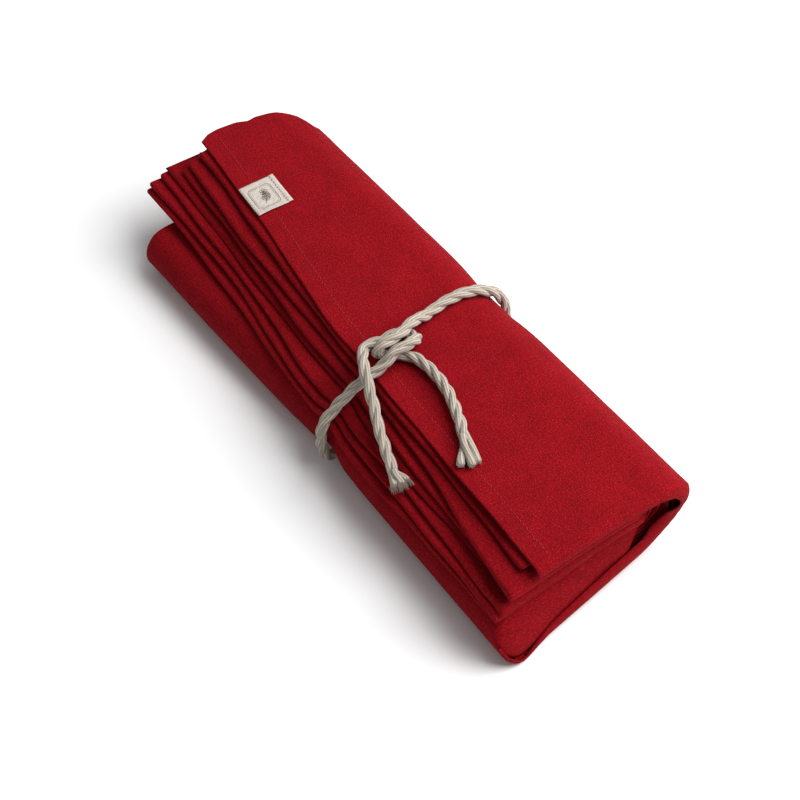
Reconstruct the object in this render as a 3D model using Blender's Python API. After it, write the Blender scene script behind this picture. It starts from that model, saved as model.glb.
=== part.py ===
"""A round linen tablecloth, folded to a narrow bundle and tied once round its middle.

Frame: +X along the bundle to its near end, +Y across to its fat fold, +Z up, and the
origin on the surface it lies on, under the middle of the cloth.

The cloth is one back-and-forth strip. Seven plies run side by side through four panels:
over the top, round the fat right-hand fold, along the bottom, round the left-hand fold,
back through the middle, round the inner right-hand fold and out to the left again. Each
ply turns into the next at a left-hand edge, so those edges make the stepped fan.
"""

import math

import bpy
import numpy as np

# The cloth
THICK = 0.0013            # one layer, with its slack
PITCH = 0.0025            # from one layer to the next
PLIES = 7
LAYERS = 4 * PLIES
TOP = LAYERS - 1          # layers count from 0 on the underside to this on top
MIDDLE = TOP / 2          # height, in layers, of the right-hand folds' centre
LOW_MIDDLE = (LAYERS / 2 - 1) / 2   # height, in layers, of the left-hand fold's centre
RIGHT_FOLD_Y = 0.0410     # centre of the right-hand folds
LEFT_FOLD_Y = -0.0550     # centre of the left-hand fold
SWELL = 0.0016            # how far the top rises over the middle of its width
SWELL_Y = 0.010           # where it rises most
SWELL_WIDTH = 0.035
SAG = 0.0022              # how far the top falls towards the fan
SAG_FROM_Y = -0.020
SAG_WIDTH = 0.050

# The left-hand edges, from the top down: the layers that each one joins, and its Y at
# five stations along the bundle. An edge with one layer is a free, hemmed end.
STATIONS = (-0.211, -0.090, -0.010, 0.125, 0.206)
EDGES = (
    # name          layers    far      ...     tie      ...     near
    ("flap hem",    (27,),    (-0.012, -0.027, -0.038, -0.045, -0.051)),
    ("edge 2",      (26, 25), (-0.020, -0.031, -0.042, -0.049, -0.064)),
    ("edge 3",      (24, 23), (-0.027, -0.038, -0.045, -0.054, -0.066)),
    ("edge 4",      (22, 21), (-0.033, -0.042, -0.049, -0.058, -0.067)),
    ("inner hem",   (20,),    (-0.038, -0.045, -0.054, -0.062, -0.070)),
    ("edge 6",      (19, 18), (-0.043, -0.050, -0.060, -0.067, -0.073)),
    ("edge 7",      (17, 16), (-0.049, -0.055, -0.065, -0.071, -0.074)),
    ("edge 8",      (15, 14), (-0.054, -0.060, -0.069, -0.074, -0.075)),
)

# How far the layers reach along X, by height: far end, near end, and how much the near
# end falls back for each metre across.
REACH = (
    # layer  far      near    skew
    (27,    -0.2100,  0.2050, 0.062),
    (21,    -0.2108,  0.2010, 0.075),
    (20,    -0.2108,  0.1990, 0.080),
    (14,    -0.2100,  0.1940, 0.110),
    (13,    -0.1970,  0.1965, 0.140),
    (7,     -0.1960,  0.2040, 0.170),
    (0,     -0.1950,  0.2085, 0.180),
)
SKEW_FROM_Y = -0.060      # the near end's REACH is measured here
FAR_SETBACK = (0.0, 0.0040, 0.0015, 0.0052, 0.0026, 0.0058, 0.0030)    # by ply
NEAR_SETBACK = (0.0, 0.0065, 0.0080, 0.0068, 0.0085, 0.0070, 0.0062)   # by ply

# Layers that close over the near end of those below or above them
LIPS = (
    # panel      ply  length  first, last slope (degrees; + turns up)
    ("top",      1,   0.0090,  -10, -105),
    ("inner",    7,   0.0090,  -10, -110),
    ("middle",   1,   0.0270,  -34, -92),
    ("bottom",   1,   0.0050,   5, 62),
)
BARE_LIP = 0.0024         # every other layer runs on this far, straight
LIP_CORNER = 0.0140       # over this width beside a fold, a lip dies out
LIP_SHORT_OF_FOLD = 0.4   # share of that width it stops short of the right-hand folds

# The tie
CORD = 0.0075             # diameter
GAP = 0.0003              # between pieces that touch
TIE_X = 0.0175            # where the tie crosses Y = 0 beneath the cloth
TIE_SKEW = -0.090         # its X for each metre across
WAIST = 0.045             # how much of the height the tie takes in
WAIST_IN = 0.0022         # how far it draws each side in
WAIST_LENGTH = 0.026
GROOVE = CORD + 2 * GAP   # lift of the underside where the cord passes beneath
GROOVE_HALF = 0.0062      # half the groove's flat width
GROOVE_RAMP = 0.0170      # where the groove has died out

# The tie's route: along its right free end into the knot, round the bundle, and back
# through the knot to its left free end
CORD_ROUTE = (
    # x, y, z
    (0.1260, -0.0385, 0.0724),    # right free end, on the flap
    (0.1030, -0.0258, 0.0733),
    (0.0865, -0.0190, 0.0738),
    (0.0720, -0.0142, 0.0739),
    (0.0568, -0.0118, 0.0736),
    (0.0430, -0.0118, 0.0726),
    (0.0350, -0.0136, 0.0719),    # into the knot, under the other strand
    (0.0300, -0.0172, 0.0717),
    (0.0265, -0.0225, 0.0718),
    (0.0238, -0.0280, 0.0728),
    (0.0228, -0.0318, 0.0770),    # turned up round it
    (0.0232, -0.0285, 0.0814),
    (0.0235, -0.0210, 0.0824),    # and back over the knot
    (0.0222, -0.0135, 0.0822),
    (0.0190, -0.0062, 0.0810),
    (0.0157, 0.0010, 0.0788),
    (0.0128, 0.0085, 0.0748),
    (0.0105, 0.0160, 0.0724),
    (0.0084, 0.0250, 0.0718),     # the band, over the top
    (0.0074, 0.0370, 0.0715),
    (0.0076, 0.0500, 0.0694),
    (0.0086, 0.0622, 0.0640),
    (0.0098, 0.0721, 0.0546),     # down the right-hand side
    (0.0108, 0.0775, 0.0375),
    (0.0114, 0.0732, 0.0192),
    (0.0121, 0.0615, 0.0064),
    (0.0136, 0.0430, 0.0042),     # beneath
    (0.0153, 0.0250, 0.0041),
    (0.0180, -0.0060, 0.0041),
    (0.0210, -0.0390, 0.0041),
    (0.0227, -0.0572, 0.0043),
    (0.0240, -0.0709, 0.0084),    # up the left-hand side
    (0.0246, -0.0751, 0.0212),
    (0.0248, -0.0755, 0.0310),
    (0.0250, -0.0734, 0.0408),
    (0.0257, -0.0663, 0.0491),
    (0.0267, -0.0585, 0.0563),
    (0.0282, -0.0503, 0.0635),
    (0.0300, -0.0430, 0.0693),    # under the left free end
    (0.0312, -0.0362, 0.0720),
    (0.0315, -0.0308, 0.0752),
    (0.0308, -0.0253, 0.0789),    # over the right free end
    (0.0312, -0.0190, 0.0802),
    (0.0305, -0.0122, 0.0798),    # round the band
    (0.0275, -0.0060, 0.0765),
    (0.0226, -0.0028, 0.0722),
    (0.0172, -0.0040, 0.0713),
    (0.0140, -0.0098, 0.0732),
    (0.0150, -0.0165, 0.0747),
    (0.0157, -0.0225, 0.0752),
    (0.0146, -0.0292, 0.0756),    # out of the knot, in a loop
    (0.0155, -0.0366, 0.0766),
    (0.0226, -0.0418, 0.0780),
    (0.0298, -0.0462, 0.0787),
    (0.0372, -0.0488, 0.0744),
    (0.0440, -0.0508, 0.0680),    # left free end, down over the fan
    (0.0515, -0.0532, 0.0631),
    (0.0604, -0.0567, 0.0586),
    (0.0700, -0.0599, 0.0558),
    (0.0800, -0.0633, 0.0537),
    (0.0890, -0.0660, 0.0519),
    (0.0990, -0.0694, 0.0500),
)
CORD_STEP = 0.0170         # longest piece of the tube

# The label, sewn flat on the flap with one side on the hem
LABEL_X = -0.1560         # its far corner
LABEL_LONG = 0.0300       # along the hem
LABEL_WIDE = 0.0265       # across the flap
LABEL_THICK = 0.0008
LABEL_CELLS = 4

LINEN = (0.38, 0.008, 0.018, 1.0)
LABEL_TAPE = (0.70, 0.64, 0.55, 1.0)
CORD_FIBRE = (0.56, 0.50, 0.42, 1.0)


def clear_scene():
    for old in list(bpy.data.objects):
        bpy.data.objects.remove(old, do_unlink=True)


def material(name, colour, roughness):
    made = bpy.data.materials.new(name)
    made.use_nodes = True
    shader = made.node_tree.nodes["Principled BSDF"]
    shader.inputs["Base Color"].default_value = colour
    shader.inputs["Roughness"].default_value = roughness
    shader.inputs["Metallic"].default_value = 0.0
    made.diffuse_color = colour
    return made


def add_object(name, mesh, look):
    made = bpy.data.objects.new(name, mesh)
    mesh.materials.append(look)
    bpy.context.scene.collection.objects.link(made)
    return made


def eased(x, xs, ys):
    """Smooth curve through the points of a table."""
    slopes = np.gradient(ys, xs)
    k = int(np.clip(np.searchsorted(xs, x) - 1, 0, len(xs) - 2))
    span = xs[k + 1] - xs[k]
    t = min(max((x - xs[k]) / span, 0.0), 1.0)
    low = (1 + 2 * t) * (1 - t) ** 2 * ys[k] + t * (1 - t) ** 2 * span * slopes[k]
    high = t * t * (3 - 2 * t) * ys[k + 1] + t * t * (t - 1) * span * slopes[k + 1]
    return low + high


def tie_x(y):
    return TIE_X + TIE_SKEW * y


def near_tie(x, y):
    """1 at the tie, falling to 0 along the bundle."""
    return math.exp(-((x - tie_x(y)) / WAIST_LENGTH) ** 2)


def groove_at(x, y):
    """1 where the cord passes beneath, 0 away from it."""
    away = abs(x - tie_x(y))
    return float(np.clip((GROOVE_RAMP - away) / (GROOVE_RAMP - GROOVE_HALF), 0.0, 1.0))


def height(layer, x, y):
    """Z of a layer's middle."""
    share = layer / TOP
    swell = SWELL * math.exp(-((y - SWELL_Y) / SWELL_WIDTH) ** 2)
    sag = SAG * float(np.clip((SAG_FROM_Y - y) / SAG_WIDTH, 0.0, 1.0))
    z = layer * PITCH * (1 - WAIST * near_tie(x, y)) + (swell - sag) * share
    return THICK / 2 + z + GROOVE * groove_at(x, y) * (1 - share)


def edge_y(layer, x):
    for _, layers, ys in EDGES:
        if layer in layers:
            inset = PITCH / 2 if len(layers) == 2 else 0.0
            return eased(x, STATIONS, ys) + inset
    raise ValueError(layer)


def bend(centre, radius, start, end, steps, layer_centre):
    """(y, layer) round a fold, both of its ends included."""
    angles = np.radians(np.linspace(start, end, steps + 1))
    return [
        (centre + radius * PITCH * math.cos(a), layer_centre + radius * math.sin(a))
        for a in angles
    ]


def run(y0, y1, layer, steps):
    """(y, layer) along a flat stretch, without its two ends, closer near them."""
    shares = [0.5 - 0.5 * math.cos(math.pi * k / steps) for k in range(1, steps)]
    return [(y0 + (y1 - y0) * t, layer) for t in shares]


def ply_route(ply, x):
    """(panel, y, layer) of one ply, from its edge on top to its edge inside."""
    draw = WAIST_IN * near_tie(x, 0.0)
    right, left = RIGHT_FOLD_Y - draw, LEFT_FOLD_Y + draw
    top, bottom = LAYERS - ply, ply - 1
    middle, inner = PLIES * 2 - ply, PLIES * 2 - 1 + ply
    flats = 4 if ply in (1, PLIES) else 2
    outer_steps = 6 if ply < 5 else 5
    route = [("top", edge_y(top, x) + draw, top)]
    route += [("top", *p) for p in run(route[0][1], right, top, flats)]
    outer = bend(right, MIDDLE - bottom, 90, -90, outer_steps, MIDDLE)
    route += [("outer fold", *p) for p in outer]
    route += [("bottom", *p) for p in run(right, left, bottom, flats)]
    low = bend(left, -(LOW_MIDDLE - bottom), 90, -90, 4, LOW_MIDDLE)
    route += [("left fold", *p) for p in low]
    route += [("middle", *p) for p in run(left, right, middle, flats)]
    inside = bend(right, ply - 0.5, -90, 90, 4, MIDDLE)
    route += [("inner fold", *p) for p in inside]
    end = edge_y(inner, x) + draw
    route += [("inner", *p) for p in run(right, end, inner, flats)]
    route.append(("inner", end, inner))
    return route


def strip_route(x):
    """(ply, panel, y, layer) of the whole strip at one station."""
    stops = []
    for ply in range(1, PLIES + 1):
        route = ply_route(ply, x)
        if ply % 2 == 0:
            route.reverse()
        if stops:
            _, _, y, layer = stops[-1]
            turn = 0.5 * (route[0][2] - layer)
            arc = bend(y, -0.5, 180 * turn, -180 * turn, 3, layer + turn)
            stops += [(ply, "edge", *p) for p in arc[1:-1]]
        stops += [(ply, *stop) for stop in route]
    return stops


def reach(ply, layer, y):
    """X of the far and the near end of a ply."""
    layers, fars, nears, skews = (np.array(c)[::-1] for c in zip(*REACH))
    far = np.interp(layer, layers, fars) + FAR_SETBACK[ply - 1]
    near = np.interp(layer, layers, nears) - NEAR_SETBACK[ply - 1]
    near -= np.interp(layer, layers, skews) * (y - SKEW_FROM_Y)
    return far, near


def lip_of(ply, panel, y):
    """(length, first slope, last slope) of a layer's lip, in radians."""
    for at, which, length, first, last in LIPS:
        if (at, which) == (panel, ply):
            from_right = (RIGHT_FOLD_Y - y) / LIP_CORNER - LIP_SHORT_OF_FOLD
            from_right = np.clip(from_right, 0.0, 1.0)
            from_left = np.clip((y - LEFT_FOLD_Y) / LIP_CORNER, 0.0, 1.0)
            share = from_right if panel in ("top", "inner") else from_right * from_left
            length = BARE_LIP + (length - BARE_LIP) * share
            return length, math.radians(first * share), math.radians(last * share)
    return BARE_LIP, 0.0, 0.0


# Rows across the bundle: how much of the way from an end to the tie, and how far from
# the tie's middle
FAR_ROWS = (0.0, 0.32, 0.66)
TIE_ROWS = (-GROOVE_RAMP, -GROOVE_HALF, GROOVE_HALF, GROOVE_RAMP)
NEAR_ROWS = (0.36, 0.70, 0.93, 1.0)
LIP_ROWS = 3


def row_places(ply, panel, y, layer):
    """(x, dz, slope) of each row of the strip at one stop of its route."""
    far, near = reach(ply, layer, y)
    tie = tie_x(y)
    first, last = tie + TIE_ROWS[0], tie + TIE_ROWS[-1]
    places = [(far + (first - far) * t, 0.0, 0.0) for t in FAR_ROWS]
    places += [(tie + d, 0.0, 0.0) for d in TIE_ROWS]
    places += [(last + (near - last) * t, 0.0, 0.0) for t in NEAR_ROWS]
    length, start, end = lip_of(ply, panel, y)
    x, dz = near, 0.0
    for k in range(LIP_ROWS):
        slope = start + (end - start) * (k + 0.5) / LIP_ROWS
        x += math.cos(slope) * length / LIP_ROWS
        dz += math.sin(slope) * length / LIP_ROWS
        places.append((x, dz, start + (end - start) * (k + 1) / LIP_ROWS))
    return places


def strip_grid():
    """Middle of the strip: points[row, stop] and the slope of each row there."""
    guide = strip_route(0.0)
    rows = len(FAR_ROWS) + len(TIE_ROWS) + len(NEAR_ROWS) + LIP_ROWS
    points = np.zeros((rows, len(guide), 3))
    slopes = np.zeros((rows, len(guide)))
    for row in range(rows):
        x = row_places(*guide[0])[row][0]
        stops = strip_route(x)
        for k, (ply, panel, y, layer) in enumerate(stops):
            at, dz, slope = row_places(ply, panel, y, layer)[row]
            points[row, k] = at, y, height(layer, at, y) + dz
            slopes[row, k] = slope
    return points, slopes


SHARPEST_MITRE = 0.75     # cosine of half a bend, at its tightest


def section_normals(points, slopes):
    """Mitred normals in the section's plane, tipped over where a lip turns."""
    normals = np.zeros_like(points)
    for row, line in enumerate(points):
        steps = np.diff(line[:, 1:], axis=0)
        steps /= np.linalg.norm(steps, axis=1)[:, None]
        before = np.vstack([steps[:1], steps])
        after = np.vstack([steps, steps[-1:]])
        mean = before + after
        mean /= np.linalg.norm(mean, axis=1)[:, None]
        mitre = 1.0 / np.clip((mean * before).sum(axis=1), SHARPEST_MITRE, 1.0)
        across = np.stack([-mean[:, 1], mean[:, 0]], axis=1) * mitre[:, None]
        normals[row, :, 0] = -across[:, 1] * np.sin(slopes[row])
        normals[row, :, 1] = across[:, 0]
        normals[row, :, 2] = across[:, 1] * np.cos(slopes[row])
    return normals


def sheet_mesh(name, points, normals, thick):
    """Closed sheet: both faces of a grid, and the rim round it."""
    rows, stops, _ = points.shape
    sides = [points - normals * thick / 2, points + normals * thick / 2]
    verts = np.concatenate([s.reshape(-1, 3) for s in sides])
    other = rows * stops

    def at(row, stop, side=0):
        return row * stops + stop + side * other

    faces = []
    for r in range(rows - 1):
        for k in range(stops - 1):
            faces.append((at(r, k), at(r, k + 1), at(r + 1, k + 1), at(r + 1, k)))
            faces.append((at(r, k, 1), at(r + 1, k, 1), at(r + 1, k + 1, 1), at(r, k + 1, 1)))
    for k in range(stops - 1):
        faces.append((at(0, k + 1), at(0, k), at(0, k, 1), at(0, k + 1, 1)))
        faces.append((at(rows - 1, k), at(rows - 1, k + 1),
                      at(rows - 1, k + 1, 1), at(rows - 1, k, 1)))
    for r in range(rows - 1):
        faces.append((at(r, 0), at(r + 1, 0), at(r + 1, 0, 1), at(r, 0, 1)))
        faces.append((at(r + 1, stops - 1), at(r, stops - 1),
                      at(r, stops - 1, 1), at(r + 1, stops - 1, 1)))
    mesh = bpy.data.meshes.new(name)
    mesh.from_pydata([tuple(v) for v in verts], [], faces)
    mesh.update()
    return mesh


def tablecloth(look):
    points, slopes = strip_grid()
    mesh = sheet_mesh("tablecloth", points, section_normals(points, slopes), THICK)
    return add_object("tablecloth", mesh, look)


def label(look):
    """A small tape that lies on the flap, from its hem inwards."""
    points = np.zeros((LABEL_CELLS + 1, LABEL_CELLS + 1, 3))
    for row in range(LABEL_CELLS + 1):
        x = LABEL_X + LABEL_LONG * row / LABEL_CELLS
        for k in range(LABEL_CELLS + 1):
            y = edge_y(TOP, x) + LABEL_WIDE * k / LABEL_CELLS
            points[row, k] = x, y, height(TOP, x, y) + THICK / 2 + GAP + LABEL_THICK / 2
    up = np.zeros_like(points)
    up[..., 2] = 1.0
    return add_object("label", sheet_mesh("label", points, up, LABEL_THICK), look)


def smooth_route(points):
    """Points along a smooth curve through the route's own points."""
    points = np.array(points)
    padded = np.vstack([2 * points[0] - points[1], points, 2 * points[-1] - points[-2]])
    curve = [points[0]]
    for a, b, c, d in zip(padded, padded[1:], padded[2:], padded[3:]):
        chord = np.linalg.norm(c - b)
        turn = (b - a) @ (d - c) / (np.linalg.norm(b - a) * np.linalg.norm(d - c))
        steps = max(int(np.ceil(chord / CORD_STEP)), 2 if turn < 0.5 else 1)
        knots = np.cumsum([0.0] + [np.sqrt(np.linalg.norm(q - p))
                                   for p, q in ((a, b), (b, c), (c, d))])
        for t in np.linspace(knots[1], knots[2], steps + 1)[1:]:
            ab, bc, cd = (p + (q - p) * (t - k0) / (k1 - k0) for p, q, k0, k1 in (
                (a, b, knots[0], knots[1]),
                (b, c, knots[1], knots[2]),
                (c, d, knots[2], knots[3])))
            abc = ab + (bc - ab) * (t - knots[0]) / (knots[2] - knots[0])
            bcd = bc + (cd - bc) * (t - knots[1]) / (knots[3] - knots[1])
            curve.append(abc + (bcd - abc) * (t - knots[1]) / (knots[2] - knots[1]))
    return curve


def tie_cord(look):
    """The cord as one plain tube: its band, its knot and its two free ends."""
    route = smooth_route(CORD_ROUTE)
    curve = bpy.data.curves.new("tie_cord", "CURVE")
    curve.dimensions = "3D"
    curve.bevel_depth = CORD / 2
    curve.bevel_resolution = 2
    curve.resolution_u = 1
    curve.render_resolution_u = 0
    curve.use_fill_caps = True
    spline = curve.splines.new("POLY")
    spline.points.add(len(route) - 1)
    for point, place in zip(spline.points, route):
        point.co = (*place, 1.0)
    return add_object("tie_cord", curve, look)


def main():
    clear_scene()
    tablecloth(material("red linen", LINEN, 0.85))
    label(material("label tape", LABEL_TAPE, 0.80))
    tie_cord(material("cord fibre", CORD_FIBRE, 0.80))


main()
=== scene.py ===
# %% [markdown]
# # A red linen tablecloth, folded and tied
#
# The real thing is one round cloth. It is pleated back and forth to a strip seven plies
# thick, and the strip is folded in half twice to a bundle of 28 layers. A twisted cord
# goes once round the middle and is knotted on top. This script gives that bundle its
# looks: cloth with its hem, creases and weave, a cord with three strands, and a label.
#
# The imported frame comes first. Sizes below are in metres where nothing else is said, in
# the frame's own axes: X along the bundle to its near end, Y across to its fat fold, Z up.

# %% Load the frame
import math
import random

import bpy
import numpy as np
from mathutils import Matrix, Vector


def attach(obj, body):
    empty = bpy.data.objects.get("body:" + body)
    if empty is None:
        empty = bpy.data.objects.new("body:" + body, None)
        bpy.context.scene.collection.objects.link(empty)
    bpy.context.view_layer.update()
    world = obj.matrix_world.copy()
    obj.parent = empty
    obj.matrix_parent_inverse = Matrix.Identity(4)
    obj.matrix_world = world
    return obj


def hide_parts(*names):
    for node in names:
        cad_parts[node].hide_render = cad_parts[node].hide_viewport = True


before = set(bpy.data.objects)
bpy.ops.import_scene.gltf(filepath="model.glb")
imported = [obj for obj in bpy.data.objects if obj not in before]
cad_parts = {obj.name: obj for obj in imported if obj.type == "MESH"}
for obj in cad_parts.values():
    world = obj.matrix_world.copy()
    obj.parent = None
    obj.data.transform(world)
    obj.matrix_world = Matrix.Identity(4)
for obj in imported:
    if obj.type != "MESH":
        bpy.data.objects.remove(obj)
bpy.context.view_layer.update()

print("frame:", sorted(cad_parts))

# %% [markdown]
# ## The camera
#
# Something long and flat shows best from above through a long lens, because its parallel
# edges then stay nearly parallel. The camera is set by what it looks at, how far away it
# stands, its height above the horizon and how far it is turned.

# %% Camera
AIM = Vector((0.0063, -0.0030, 0.0))
CAMERA_AWAY = 1.2957
CAMERA_RISE = math.radians(48.0)
CAMERA_TURN = math.radians(-35.24)     # round Z, from +X
LENS_MM = 90.4
SENSOR_MM = 36.0


def from_aim(away, rise, turn):
    """A place seen from AIM at a distance, a height angle and a turn from +X."""
    level = away * math.cos(rise)
    return AIM + Vector((level * math.cos(turn), level * math.sin(turn), away * math.sin(rise)))


camera_data = bpy.data.cameras.new("camera")
camera_data.lens = LENS_MM
camera_data.sensor_width = SENSOR_MM
camera = bpy.data.objects.new("camera", camera_data)
bpy.context.scene.collection.objects.link(camera)
camera.location = from_aim(CAMERA_AWAY, CAMERA_RISE, CAMERA_TURN)
camera.rotation_euler = (AIM - camera.location).to_track_quat("-Z", "Y").to_euler()
bpy.context.scene.camera = camera
bpy.context.scene.view_settings.view_transform = "Standard"
print("camera at", [round(c, 3) for c in camera.location])

# %% [markdown]
# ## The cord's route
#
# The cord is one length of rope, so its route is one smooth curve through listed points.
# It starts at the free end that lies on the flap, goes into the knot, round the bundle, and
# back through the knot to the other free end. The knot is a real one: each strand passes
# over and under the others with a cord's thickness between them.
#
# The curve is a centripetal Catmull-Rom one. It goes through every point, and it makes no
# loop of its own where two points lie close together.

# %% Cord route
CORD = 0.0075             # diameter
CORD_ROUTE = (
    # x, y, z
    (0.1260, -0.0385, 0.0724),    # right free end, on the flap
    (0.1030, -0.0258, 0.0733),
    (0.0865, -0.0190, 0.0738),
    (0.0720, -0.0142, 0.0739),
    (0.0568, -0.0118, 0.0736),
    (0.0430, -0.0118, 0.0726),
    (0.0350, -0.0136, 0.0719),    # into the knot, under the other strand
    (0.0300, -0.0172, 0.0717),
    (0.0265, -0.0225, 0.0718),
    (0.0238, -0.0280, 0.0728),
    (0.0228, -0.0318, 0.0770),    # turned up round it
    (0.0232, -0.0285, 0.0814),
    (0.0235, -0.0210, 0.0824),    # and back over the knot
    (0.0222, -0.0135, 0.0822),
    (0.0190, -0.0062, 0.0810),
    (0.0157, 0.0010, 0.0788),
    (0.0128, 0.0085, 0.0748),
    (0.0105, 0.0160, 0.0724),
    (0.0084, 0.0250, 0.0718),     # the band, over the top
    (0.0074, 0.0370, 0.0715),
    (0.0076, 0.0500, 0.0694),
    (0.0086, 0.0622, 0.0640),
    (0.0098, 0.0721, 0.0546),     # down the right-hand side
    (0.0108, 0.0775, 0.0375),
    (0.0114, 0.0732, 0.0192),
    (0.0121, 0.0615, 0.0064),
    (0.0136, 0.0430, 0.0042),     # beneath
    (0.0153, 0.0250, 0.0041),
    (0.0180, -0.0060, 0.0041),
    (0.0210, -0.0390, 0.0041),
    (0.0227, -0.0572, 0.0043),
    (0.0240, -0.0709, 0.0084),    # up the left-hand side
    (0.0246, -0.0751, 0.0212),
    (0.0248, -0.0755, 0.0310),
    (0.0250, -0.0734, 0.0408),
    (0.0257, -0.0663, 0.0491),
    (0.0267, -0.0585, 0.0563),
    (0.0282, -0.0503, 0.0635),
    (0.0300, -0.0430, 0.0693),    # under the left free end
    (0.0312, -0.0362, 0.0720),
    (0.0315, -0.0308, 0.0752),
    (0.0308, -0.0253, 0.0789),    # over the right free end
    (0.0312, -0.0190, 0.0802),
    (0.0305, -0.0122, 0.0798),    # round the band
    (0.0275, -0.0060, 0.0765),
    (0.0226, -0.0028, 0.0722),
    (0.0172, -0.0040, 0.0713),
    (0.0140, -0.0098, 0.0732),
    (0.0150, -0.0165, 0.0747),
    (0.0157, -0.0225, 0.0752),
    (0.0146, -0.0292, 0.0756),    # out of the knot, in a loop
    (0.0155, -0.0366, 0.0766),
    (0.0226, -0.0418, 0.0780),
    (0.0298, -0.0462, 0.0787),
    (0.0372, -0.0488, 0.0744),
    (0.0440, -0.0508, 0.0680),    # left free end, down over the fan
    (0.0515, -0.0532, 0.0631),
    (0.0604, -0.0567, 0.0586),
    (0.0700, -0.0599, 0.0558),
    (0.0800, -0.0633, 0.0537),
    (0.0890, -0.0660, 0.0519),
    (0.0990, -0.0694, 0.0500),
)
ROUTE_STEP = 0.0012       # between points of the drawn centreline
SPAN_POINTS = 25          # between two points of the route, before they are evened out


def lengths_along(points):
    """Distance along a line at each of its points."""
    return np.concatenate([[0], np.cumsum(np.linalg.norm(np.diff(points, axis=0), axis=1))])


def smooth_route(points, step):
    """Evenly spaced points along a smooth curve through the route's own points."""
    points = np.array(points)
    padded = np.vstack([2 * points[0] - points[1], points, 2 * points[-1] - points[-2]])
    fine = [points[:1]]
    for a, b, c, d in zip(padded, padded[1:], padded[2:], padded[3:]):
        spans = [np.sqrt(np.linalg.norm(q - p)) for p, q in ((a, b), (b, c), (c, d))]
        knots = np.cumsum([0.0] + spans)
        t = np.linspace(knots[1], knots[2], SPAN_POINTS)[1:, None]
        ab, bc, cd = (p + (q - p) * (t - k0) / (k1 - k0) for p, q, k0, k1 in (
            (a, b, knots[0], knots[1]),
            (b, c, knots[1], knots[2]),
            (c, d, knots[2], knots[3])))
        abc = ab + (bc - ab) * (t - knots[0]) / (knots[2] - knots[0])
        bcd = bc + (cd - bc) * (t - knots[1]) / (knots[3] - knots[1])
        fine.append(abc + (bcd - abc) * (t - knots[1]) / (knots[2] - knots[1]))
    fine = np.vstack(fine)
    along = lengths_along(fine)
    even = np.linspace(0, along[-1], int(along[-1] / step) + 1)
    return np.stack([np.interp(even, along, fine[:, k]) for k in range(3)], axis=1), even


centreline, centre_along = smooth_route(CORD_ROUTE, ROUTE_STEP)
CORD_LENGTH = float(centre_along[-1])
print(f"cord: {CORD_LENGTH:.3f} m, {len(centreline)} points")

# %% [markdown]
# ## Meshes and tubes
#
# Strands, loose fibres and stitches are all tubes swept along a line. The frame that
# carries a tube's ring turns as little as it can from point to point, so that nothing
# wrings itself where a line bends tightly. A tube's UV map holds the metres along it and
# the share of the way round, for materials that follow the thread. Its faces point
# outwards and both of its ends are closed.

# %% Meshes and tubes
UP = (0, 0, 1.0)
OFF_THE_ROPE = (0.3, 0.2, 1.0)    # any direction that the rope doesn't start in


def link_mesh(name, verts, faces, uvs=None, smooth=True):
    """An object at the origin from points and faces, with a UV for each point."""
    mesh = bpy.data.meshes.new(name)
    mesh.from_pydata([tuple(v) for v in verts], [], faces)
    if uvs is not None:
        layer = mesh.uv_layers.new(name="cloth")
        corners = np.empty(len(mesh.loops), dtype=np.int32)
        mesh.loops.foreach_get("vertex_index", corners)
        layer.data.foreach_set("uv", np.asarray(uvs, dtype=np.float32)[corners].ravel())
    mesh.polygons.foreach_set("use_smooth", [smooth] * len(mesh.polygons))
    mesh.update()
    made = bpy.data.objects.new(name, mesh)
    bpy.context.scene.collection.objects.link(made)
    return made


def print_piece(piece):
    """Say what a finished piece holds."""
    piece.data.calc_loop_triangles()
    sizes = ", ".join(f"{1000 * d:.1f}" for d in piece.dimensions)
    print(f"{piece.name}: {len(piece.data.loop_triangles)} triangles, {sizes} mm")


def unit(vectors):
    return vectors / np.linalg.norm(vectors, axis=-1, keepdims=True)


def steady_frames(points):
    """Tangent and two normals at each point, turned as little as can be."""
    tangents = unit(np.gradient(points, axis=0))
    normal = unit(np.cross(tangents[0], OFF_THE_ROPE))
    firsts = np.empty_like(points)
    for k, tangent in enumerate(tangents):
        normal = unit(normal - tangent * (normal @ tangent))
        firsts[k] = normal
    return tangents, firsts, np.cross(tangents, firsts)


def sweep(points, radii, sides):
    """Rings of a tube along points, with their UVs: metres along, share round."""
    _, first, second = steady_frames(points)
    turns = np.linspace(0, 2 * math.pi, sides, endpoint=False)
    ring = first[:, None] * np.cos(turns)[None, :, None]
    ring = ring + second[:, None] * np.sin(turns)[None, :, None]
    rings = points[:, None] + ring * np.asarray(radii)[:, None, None]
    u = np.repeat(lengths_along(points)[:, None], sides, axis=1)
    v = np.repeat(np.linspace(0, 1, sides, endpoint=False)[None], len(points), axis=0)
    return rings, np.stack([u, v], axis=-1)


def tube_faces(count, sides, offset):
    """Quads between rings and one cap at each end."""
    faces = []
    for r in range(count - 1):
        for k in range(sides):
            n = (k + 1) % sides
            a, b = offset + r * sides, offset + (r + 1) * sides
            faces.append((a + k, a + n, b + n, b + k))
    faces.append(tuple(offset + k for k in reversed(range(sides))))
    faces.append(tuple(offset + (count - 1) * sides + k for k in range(sides)))
    return faces


def tubes_object(name, parts):
    """One object from several swept tubes, each (rings, uvs)."""
    verts, uvs, faces = [], [], []
    for rings, uv in parts:
        count, sides = rings.shape[:2]
        faces += tube_faces(count, sides, sum(len(v) for v in verts))
        verts.append(rings.reshape(-1, 3))
        uvs.append(uv.reshape(-1, 2))
    return link_mesh(name, np.vstack(verts), faces, np.vstack(uvs))

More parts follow.
